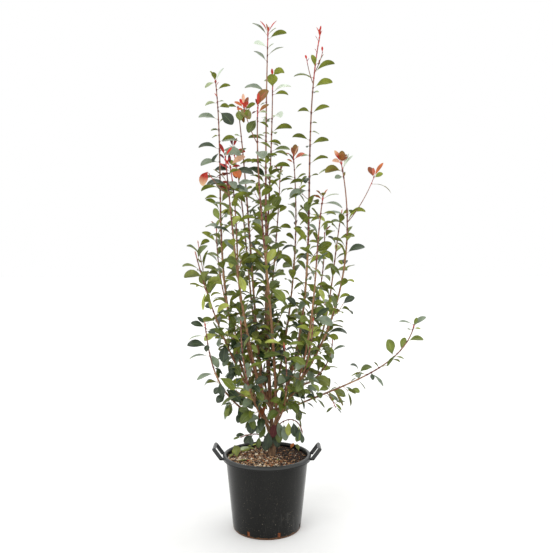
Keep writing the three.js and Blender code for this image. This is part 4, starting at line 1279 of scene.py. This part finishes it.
def bud_piece():
    """The small buds in the leaves' axils, and the larger ones at the tips that have no young leaves."""
    shape = Shape()
    profile = np.array([0.75, 1.0, 0.62, 0.08])

    def add(place, direction, length, radius, finish):
        direction = unit(direction)
        centres = place + direction * np.linspace(0, length, len(profile))[:, None]
        shape.add_spindle(centres, direction, vector(0.31, 0.95, 0.07), radius * profile, sides=6,
                          finish=finish)

    for bud in buds:
        out = unit(bud.out)
        add(bud.place + out * bud.radius * 0.6, out - 0.9 * DOWN, *SIDE_BUD, BUD_RED)
    for whip in whips:
        size, finish = (BARE_TIP_BUD, BUD_AMBER) if whip.bare_tip else (TIP_BUD, BUD_RED)
        for curve in [whip.curve, *(shoot.curve for shoot in whip.shoots)]:
            add(curve.point(0.998), curve.tangent(1.0), *size, finish)
    red = bark_material("bud_red", (0.20, 0.024, 0.022), (0.08, 0.010, 0.010), BUD_GRAIN, 0.0002, 0.5)
    amber = bark_material("bud_amber", (0.45, 0.15, 0.06), (0.30, 0.07, 0.03), BUD_GRAIN, 0.0002, 0.5)
    dress("buds", shape.mesh("buds"), [red, amber], FOLIAGE)


# ---- Pot ----

POT_HEIGHT, FOOT_RADIUS, NECK_RADIUS, RIM_RADIUS, LIP_RADIUS = 375, 175, 213, 230, 208
RIM_DEPTH, POT_WALL, POT_FLOOR = 22, 3, 6
NECK_HEIGHT = POT_HEIGHT - RIM_DEPTH
SLOT_COUNT, SLOT_FIRST, SLOT_WIDTH, SLOT_LOW, SLOT_HIGH, SLOT_DEPTH = 7, math.radians(20.9), 16, 9, 33, 30
POT_SEGMENTS = 168
PAINTED_HIGHLIGHT_ABOVE = 362  # above this height the rim and the handles are greyer, a painted highlight where light falls on the top
BOX_CORNERS = np.array([(x, y, z) for z in (-1, 1) for y in (-1, 1) for x in (-1, 1)], float)
BOX_FACES = [(0, 2, 3, 1), (4, 5, 7, 6), (0, 1, 5, 4), (2, 6, 7, 3), (0, 4, 6, 2), (1, 3, 7, 5)]


def inside_radius(height):
    share = (height - POT_FLOOR) / (NECK_HEIGHT - POT_FLOOR)
    return mix(FOOT_RADIUS, NECK_RADIUS, share) - POT_WALL


def rounded(corners, points_each=5):
    """A profile whose corners (x, z, radius) are rounded by arcs."""
    places = [np.array(c[:2], float) for c in corners]
    made = []
    for i, (_, _, radius) in enumerate(corners):
        here = places[i]
        if radius == 0:
            made.append(here)
            continue
        before, after = places[i - 1] - here, places[i + 1] - here
        angle = math.acos(np.clip(unit(before) @ unit(after), -1, 1))
        room = 0.48 * min(np.linalg.norm(before), np.linalg.norm(after))
        reach = min(radius / math.tan(angle / 2), room)
        start, end = here + unit(before) * reach, here + unit(after) * reach
        made += [bent(start, here, end, t) for t in np.linspace(0, 1, points_each)]
    return np.array(made)


def turned_shape(profile, segments):
    """Points and faces of a profile turned about the Z axis, from axis to axis."""
    inner = profile[1:-1]
    ring = np.stack(circle(segments), -1)
    points = np.concatenate([inner[:, None, :1] * ring, np.repeat(inner[:, None, 1:], segments, 1)], -1)
    foot, top = len(inner) * segments, len(inner) * segments + 1
    points = np.concatenate([points.reshape(-1, 3), [[0, 0, profile[0][1]], [0, 0, profile[-1][1]]]])
    faces = ring_faces(len(inner), segments)
    last = (len(inner) - 1) * segments
    for j in range(segments):
        after = (j + 1) % segments
        faces += [(foot, after, j), (last + j, last + after, top)]
    return points, faces


def combined(base, others, operation):
    """The mesh of base after boolean steps with the others. All are then removed."""
    for other in others:
        step = base.modifiers.new("step", "BOOLEAN")
        step.object, step.operation, step.solver = other, operation, "EXACT"
    mesh = evaluated(base)
    for made in [base, *others]:
        bpy.data.objects.remove(made)
    return mesh


def in_order(mesh):
    """The mesh with its points and faces in a fixed order, which boolean steps don't always give."""
    points = np.array([v.co for v in mesh.vertices], float)
    order = np.lexsort(points.T)
    rank = np.argsort(order)
    faces = []
    for polygon in mesh.polygons:
        corners = [int(rank[v]) for v in polygon.vertices]
        first = corners.index(min(corners))
        faces.append(corners[first:] + corners[:first])
    return mesh_of(mesh.name, points[order] / MM, sorted(faces))


def pot_material():
    """Black moulded plastic: a dull sheen with fine upright scuffs, pale dust towards the foot and earth on
    the foot's edge."""
    look = Look("pot_plastic", (0.006, 0.006, 0.005), 0.3, 0.22)
    x, y, height = look.parts(look.place())
    drift = look.noise(9, 4, 0.6, (1, 1, 0.5))
    colour = look.ramp(drift, (0.3, (0.004, 0.004, 0.0035)), (0.7, (0.009, 0.009, 0.008)))
    streaks = look.mask(look.noise(60, 4, 0.65, (1, 1, 0.12)), 0.6, 0.85, 0.25)
    colour = look.mixed(streaks, colour, (0.095, 0.092, 0.082))
    # Scratches low on the front's right side.
    scratched = look.mask(look.noise(75, 3, 0.7, (1, 1, 0.05), 0.6), 0.54, 0.66, 1)
    front_right = look.maths("GREATER_THAN", look.maths("SUBTRACT", x, y), 0.19)
    low_right = look.times(front_right, look.maths("LESS_THAN", height, 0.13))
    colour = look.mixed(look.times(look.times(scratched, low_right), 0.08), colour, (0.26, 0.26, 0.24))
    # Painted highlight: above this height the rim and the handles are greyer, as where light falls on the top
    # of the rim.
    rim = look.maths("GREATER_THAN", height, PAINTED_HIGHLIGHT_ABOVE * MM)
    colour = look.mixed(look.times(rim, 0.5), colour, (0.075, 0.078, 0.078))
    # Specks of dust, more of them lower down, and the earth.
    specks = look.mask(look.noise(190, 1.0), 0.70, 0.76, 0.75)
    lowness = look.maths("SUBTRACT", 1.0, look.times(height, 2.6))
    colour = look.mixed(look.times(specks, lowness), colour, (0.27, 0.235, 0.18))
    edge = look.maths("LESS_THAN", height, look.times(look.noise(30, 3), 0.022))
    colour = look.mixed(look.times(edge, 0.55), colour, (0.19, 0.085, 0.035))
    rough = look.maths("MULTIPLY_ADD", look.noise(45, 4, 0.6, (1, 1, 0.3)), 0.26, 0.1)
    return look.finish(colour, look.noise(420, 3, 0.6), 0.15, 0.0003, rough)


def pot_piece(material):
    """The pot: a turned wall and floor, a rolled rim that is open below, and the drain slots."""
    profile = rounded([
        (0, 0, 0),
        (FOOT_RADIUS - 14, 0, 3),
        (FOOT_RADIUS - 12, 1.5, 1),
        (FOOT_RADIUS - 8, 0, 1),
        (FOOT_RADIUS - 1, 0, 4),
        (FOOT_RADIUS + 2, 20, 0),
        (NECK_RADIUS - 1, NECK_HEIGHT - 6, 6),
        (NECK_RADIUS + 1, NECK_HEIGHT + 8, 3),
        (NECK_RADIUS + 3, NECK_HEIGHT + 15, 3),
        (RIM_RADIUS - 4, NECK_HEIGHT + 14, 2),
        (RIM_RADIUS - 3.5, NECK_HEIGHT + 1, 1),
        (RIM_RADIUS - 0.5, NECK_HEIGHT + 1, 1.2),
        (RIM_RADIUS, POT_HEIGHT - 6, 6),
        (RIM_RADIUS - 9, POT_HEIGHT - 0.5, 5),
        (LIP_RADIUS + 4, POT_HEIGHT, 4),
        (LIP_RADIUS - 0.5, POT_HEIGHT - 8, 5),
        (inside_radius(NECK_HEIGHT), NECK_HEIGHT - 4, 5),
        (inside_radius(POT_FLOOR), POT_FLOOR, 5),
        (0, POT_FLOOR, 0),
    ])
    pot = placed("pot_turned", mesh_of("pot_turned", *turned_shape(profile, POT_SEGMENTS)))
    cutter = Shape()
    middle = np.array([FOOT_RADIUS, 0, (SLOT_HIGH + SLOT_LOW) / 2])
    box = middle + BOX_CORNERS * (SLOT_DEPTH, SLOT_WIDTH, SLOT_HIGH - SLOT_LOW) / 2
    for k in range(SLOT_COUNT):
        angle = SLOT_FIRST - math.pi / 2 + 2 * math.pi * k / SLOT_COUNT
        cos, sin = math.cos(angle), math.sin(angle)
        cutter.add(box @ np.array([[cos, sin, 0], [-sin, cos, 0], [0, 0, 1]]), BOX_FACES)
    mesh = combined(pot, [placed("slots", cutter.mesh("slots"))], "DIFFERENCE")
    dress("pot_shell", mesh, [material], ["pot"], 35)


# A handle's two arms stand on the rim, and its grip lies across their tops. Both outlines are side views.
HANDLE_WIDTH, ARM_THICK, HANDLE_ROUNDING = 108, 9, 2.2
ARM_OUTLINE = [(219, 353.5), (241, 353.5), (279, 404), (281, 411), (270, 418), (260, 411), (224, 363)]
GRIP_OUTLINE = [(260, 411), (274, 399), (279, 404), (281, 411), (270, 418)]


def slab(name, corners, thickness, middle):
    """An upright plate of the given outline across the Y axis, with rounded edges."""
    made = bmesh.new()
    points = [made.verts.new((x * MM, (middle - thickness / 2) * MM, z * MM)) for x, z in corners]
    pushed = bmesh.ops.extrude_face_region(made, geom=[made.faces.new(points)])["geom"]
    moved = [v for v in pushed if isinstance(v, bmesh.types.BMVert)]
    bmesh.ops.translate(made, verts=moved, vec=(0, thickness * MM, 0))
    bmesh.ops.recalc_face_normals(made, faces=made.faces)
    bmesh.ops.bevel(made, geom=made.edges[:], offset=HANDLE_ROUNDING * MM, segments=3, profile=0.5,
                    affect="EDGES")
    mesh = bpy.data.meshes.new(name)
    made.to_mesh(mesh)
    made.free()
    return placed(name, mesh)


def handle_piece(name, node, side, material):
    """A handle: two arms that rise from the rim and the grip across their tops."""
    arm_place = (HANDLE_WIDTH - ARM_THICK) / 2
    arms = [slab("arm", ARM_OUTLINE, ARM_THICK, place) for place in (arm_place, -arm_place)]
    grip = slab("grip", GRIP_OUTLINE, HANDLE_WIDTH - 1, 0)
    mesh = in_order(combined(arms[0], [arms[1], grip], "UNION"))
    if side < 0:
        move_points(mesh, np.array([v.co for v in mesh.vertices]) * (-1, -1, 1))
    dress(name, mesh, [material], [node], 40)


# ---- Root ball ----

SOIL_EDGE, SOIL_MOUND, SOIL_GAP = 353, 5, 0.6  # the gap is to the pot's wall
SOIL_RINGS, SOIL_SEGMENTS = 44, 120
PACKED_BELOW = 45  # the bark that shows in the drain slots is redder


def soil_height(x, y):
    radius = np.hypot(x, y) / inside_radius(SOIL_EDGE)
    return SOIL_EDGE + SOIL_MOUND * (1 - radius**2)


def soil_piece():
    """The root ball: it fills the pot, and its top is a lumpy mound."""
    wall, low = inside_radius(SOIL_EDGE) - SOIL_GAP, POT_FLOOR + 0.5
    side = [(0, low), (inside_radius(POT_FLOOR) - SOIL_GAP, low), (wall, SOIL_EDGE - 3)]
    top = [(wall * s, soil_height(wall * s, 0)) for s in np.linspace(1, 0, SOIL_RINGS + 1)]
    points, faces = turned_shape(np.array([*side, *top]), SOIL_SEGMENTS)
    lumps = np.array([noise.fractal(Vector((x * 0.045, y * 0.045, 0)), 0.8, 2.2, 4) for x, y, _ in points])
    points[:, 2] += np.where(points[:, 2] > SOIL_EDGE - 1, 2.6 * lumps, 0)

    look = Look("peat", (0.05, 0.028, 0.016), 0.95)
    grain = look.noise(190, 5, 0.7)
    tone = look.ramp(grain, (0.4, (0.008, 0.006, 0.005)), (0.55, (0.035, 0.020, 0.012)),
                     (0.7, (0.16, 0.085, 0.040)))
    packed = look.ramp(grain, (0.38, (0.05, 0.018, 0.008)), (0.66, (0.46, 0.13, 0.04)))
    low_down = look.maths("LESS_THAN", look.parts(look.place())["Z"], PACKED_BELOW * MM)
    material = look.finish(look.mixed(low_down, tone, packed), grain, 0.9, 0.002)
    dress("root_ball", mesh_of("root_ball", points, faces), [material], ["soil"], 50)


CHIPS, CHIP_SEED, CHIP_TILT = 3000, 11, 0.45
CHIP_MARGIN, CHIP_CLEARANCE = 9, 30  # to the pot's wall, and to the middle of the trunk
CHIP_KINDS = {
    "cream": ((0.74, 0.62, 0.47), (0.50, 0.36, 0.24)),
    "tan": ((0.44, 0.255, 0.125), (0.22, 0.11, 0.05)),
    "russet": ((0.27, 0.105, 0.038), (0.12, 0.045, 0.020)),
    "dark": ((0.036, 0.022, 0.015), (0.014, 0.010, 0.008)),
}


def chip_pieces():
    """Chopped bark on the root ball: dry and pale at the left and in front, dark and finer at the right."""
    rng = np.random.default_rng(CHIP_SEED)
    reach = inside_radius(SOIL_EDGE) - CHIP_MARGIN
    radius, angle = reach * np.sqrt(rng.random(CHIPS)), 2 * np.pi * rng.random(CHIPS)
    x, y = radius * np.cos(angle), radius * np.sin(angle)
    clear = np.hypot(x - TRUNK["foot"][0], y - TRUNK["foot"][1]) > CHIP_CLEARANCE
    x, y = x[clear], y[clear]
    count = len(x)
    dry = 1 / (1 + np.exp((x + 0.6 * y - 30) / 30))

    # Each chip is a crooked box: its half sizes, its corners, and the axes along which they are placed.
    size = (6 + 15 * rng.random(count) ** 2) * mix(0.62, 1.12, dry)
    width, thickness = size * mix(0.35, 0.75, rng.random(count)), mix(1.2, 3.4, rng.random(count))
    half = np.stack([size, width, thickness], -1) / 2
    local = BOX_CORNERS * half[:, None] * mix(0.65, 1.15, rng.random((count, 8, 3)))
    heading = 6.28 * rng.random(count)
    pitch, lean = (mix(-CHIP_TILT, CHIP_TILT, rng.random(count)) for _ in range(2))
    ahead = np.stack([np.cos(heading), np.sin(heading)], -1) * np.cos(pitch)[:, None]
    forward = np.concatenate([ahead, np.sin(pitch)[:, None]], -1)
    level = np.stack([-np.sin(heading), np.cos(heading), np.zeros(count)], -1)
    sideways = level * np.cos(lean)[:, None] + np.cross(forward, level) * np.sin(lean)[:, None]
    axes = np.stack([forward, sideways, np.cross(forward, sideways)], 1)
    middle = np.stack([x, y, soil_height(x, y) + 0.5 + 3.2 * rng.random(count)], -1)
    points = middle[:, None] + np.einsum("nki,nij->nkj", local, axes)

    # A chip's kind is the first whose limit lies above the chip's draw.
    draw = rng.random(count)
    limits = [0.03 + 0.13 * dry, 0.08 + 0.34 * dry, 0.22 + 0.42 * dry, np.ones(count)]
    first = np.argmax(draw < np.array(limits), axis=0)
    for k, (kind, (colour, dark)) in enumerate(CHIP_KINDS.items()):
        chosen = points[first == k]
        name = "bark_chips_" + kind
        mesh = mesh_of(name, chosen.reshape(-1, 3), repeated(BOX_FACES, len(chosen), 8))
        material = bark_material("chip_" + kind, colour, dark, 150, 0.0008, 0.9)
        dress(name, mesh, [material], sharp=30)


# Leaves that have dropped on the root ball: the middle's place, the heading in degrees, how far the tip is
# raised above the base, the size and the kind.
FALLEN = [
    (-160, 8, 100, 44, 0.78, "silver"),
    (-186, -8, 60, 12, 0.4, "silver"),
    (-158, 108, 150, 22, 0.62, "deep"),
    (-132, 112, 30, 10, 0.85, "pale"),
    (-118, 96, 50, 6, 0.7, "fresh"),
    (-84, 172, 12, 16, 0.68, "fresh"),
    (-86, 122, 170, 8, 0.5, "silver"),
    (-120, -76, 4, 4, 0.62, "green"),
    (-176, 52, 75, 18, 0.45, "fresh"),
    (134, 146, 60, 24, 0.42, "orange"),
    (164, 104, 110, 30, 0.46, "silver"),
    (-94, -88, 0, 2, 0.12, "scarlet"),
    (56, -74, 120, 4, 0.18, "green"),
]
LITTER_HEIGHT, LITTER_ARCH, LITTER_WIDTH = 5, 4, 0.56  # above the root ball; of the middle; of the length


def fallen_leaves():
    """The dropped leaves by kind."""
    made = {}
    for i, (x, y, heading, lean, size, kind) in enumerate(FALLEN):
        way = math.radians(heading)
        ahead = vector(math.cos(way), math.sin(way), 0)
        half = BLADE * size / 2
        flat = ahead * math.sqrt(max(half**2 - (lean / 2) ** 2, 0))
        spot = vector(x, y, soil_height(x, y) + LITTER_HEIGHT)
        broad = vector(-ahead[1], ahead[0], mix(-0.2, 0.2, chance(i, 3, 5)))
        made.setdefault(kind, []).append(SimpleNamespace(
            base=spot - flat, middle=spot - DOWN * (LITTER_ARCH + lean / 2), tip=spot + flat - DOWN * lean,
            broad=-unit(broad), half=half, width=LITTER_WIDTH, seed=LITTER_SEED + i))
    return made


# ---- Everything together ----

plastic = pot_material()
pot_piece(plastic)
handle_piece("pot_handle_right", "handle_right", 1, plastic)
handle_piece("pot_handle_left", "handle_left", -1, plastic)
soil_piece()
chip_pieces()
trunk_piece()
wood_pieces()
stalk_piece()
bud_piece()
litter = fallen_leaves()
for kind in LEAF_KINDS:
    materials = leaf_materials(kind)
    group = [leaf for leaf in leaves if leaf.kind == kind]
    nodes = sorted({"foliage_" + leaf.whip for leaf in group}.intersection(FOLIAGE))
    if group:
        leaf_piece("leaves_" + kind, group, materials, nodes)
    if kind in litter:
        leaf_piece("fallen_leaves_" + kind, litter[kind], materials, [])

# ---- Floor, light and camera ----

# The camera looks along +Y. The lengths in pixels are the photograph's.
CAMERA_PLACE, FOCAL_PIXELS, FRAME_PIXELS, HORIZON_PIXELS = (0.0494, -3.13, 1.33), 602, 553, 7
SENSOR_WIDTH = 36
FLOOR_REACH = 90000


def make_floor():
    corners = [(x * FLOOR_REACH, y * FLOOR_REACH, 0) for x, y in ((-1, -1), (1, -1), (1, 1), (-1, 1))]
    mesh = mesh_of("floor", corners, [(0, 1, 2, 3)])
    floor = placed("floor", mesh)
    look = Look("floor_white", (0.86, 0.86, 0.85), 0.9)
    tone = look.ramp(look.noise(3, 3), (0.3, (0.84, 0.84, 0.83)), (0.7, (0.88, 0.88, 0.87)))
    look.put(look.shader.inputs["Base Color"], tone)
    mesh.materials.append(look.material)


def make_sun(name, towards, spread, strength):
    """A soft light from the given direction, over so many degrees of the sky."""
    data = bpy.data.lights.new(name, "SUN")
    data.energy, data.angle = strength, math.radians(spread)
    placed(name, data).rotation_euler = Vector(towards).to_track_quat("Z", "Y").to_euler()


def make_studio():
    world = bpy.data.worlds.new("studio")
    world.use_nodes = True
    background = world.node_tree.nodes["Background"]
    background.inputs["Color"].default_value = (1, 1, 1, 1)
    background.inputs["Strength"].default_value = 1.0
    bpy.context.scene.world = world
    bpy.context.scene.view_settings.view_transform = "Standard"
    make_sun("sky", (0.2, 0.3, 1), 70, 0.9)
    make_sun("key", (-0.7, -1.0, 1.1), 35, 0.7)


def make_camera():
    data = bpy.data.cameras.new("camera")
    data.sensor_width = SENSOR_WIDTH
    data.lens = FOCAL_PIXELS / FRAME_PIXELS * data.sensor_width
    data.shift_y = -HORIZON_PIXELS / FRAME_PIXELS
    camera = placed("camera", data)
    camera.location = CAMERA_PLACE
    camera.rotation_euler = (math.pi / 2, 0, 0)
    bpy.context.scene.camera = camera


make_floor()
make_studio()
make_camera()
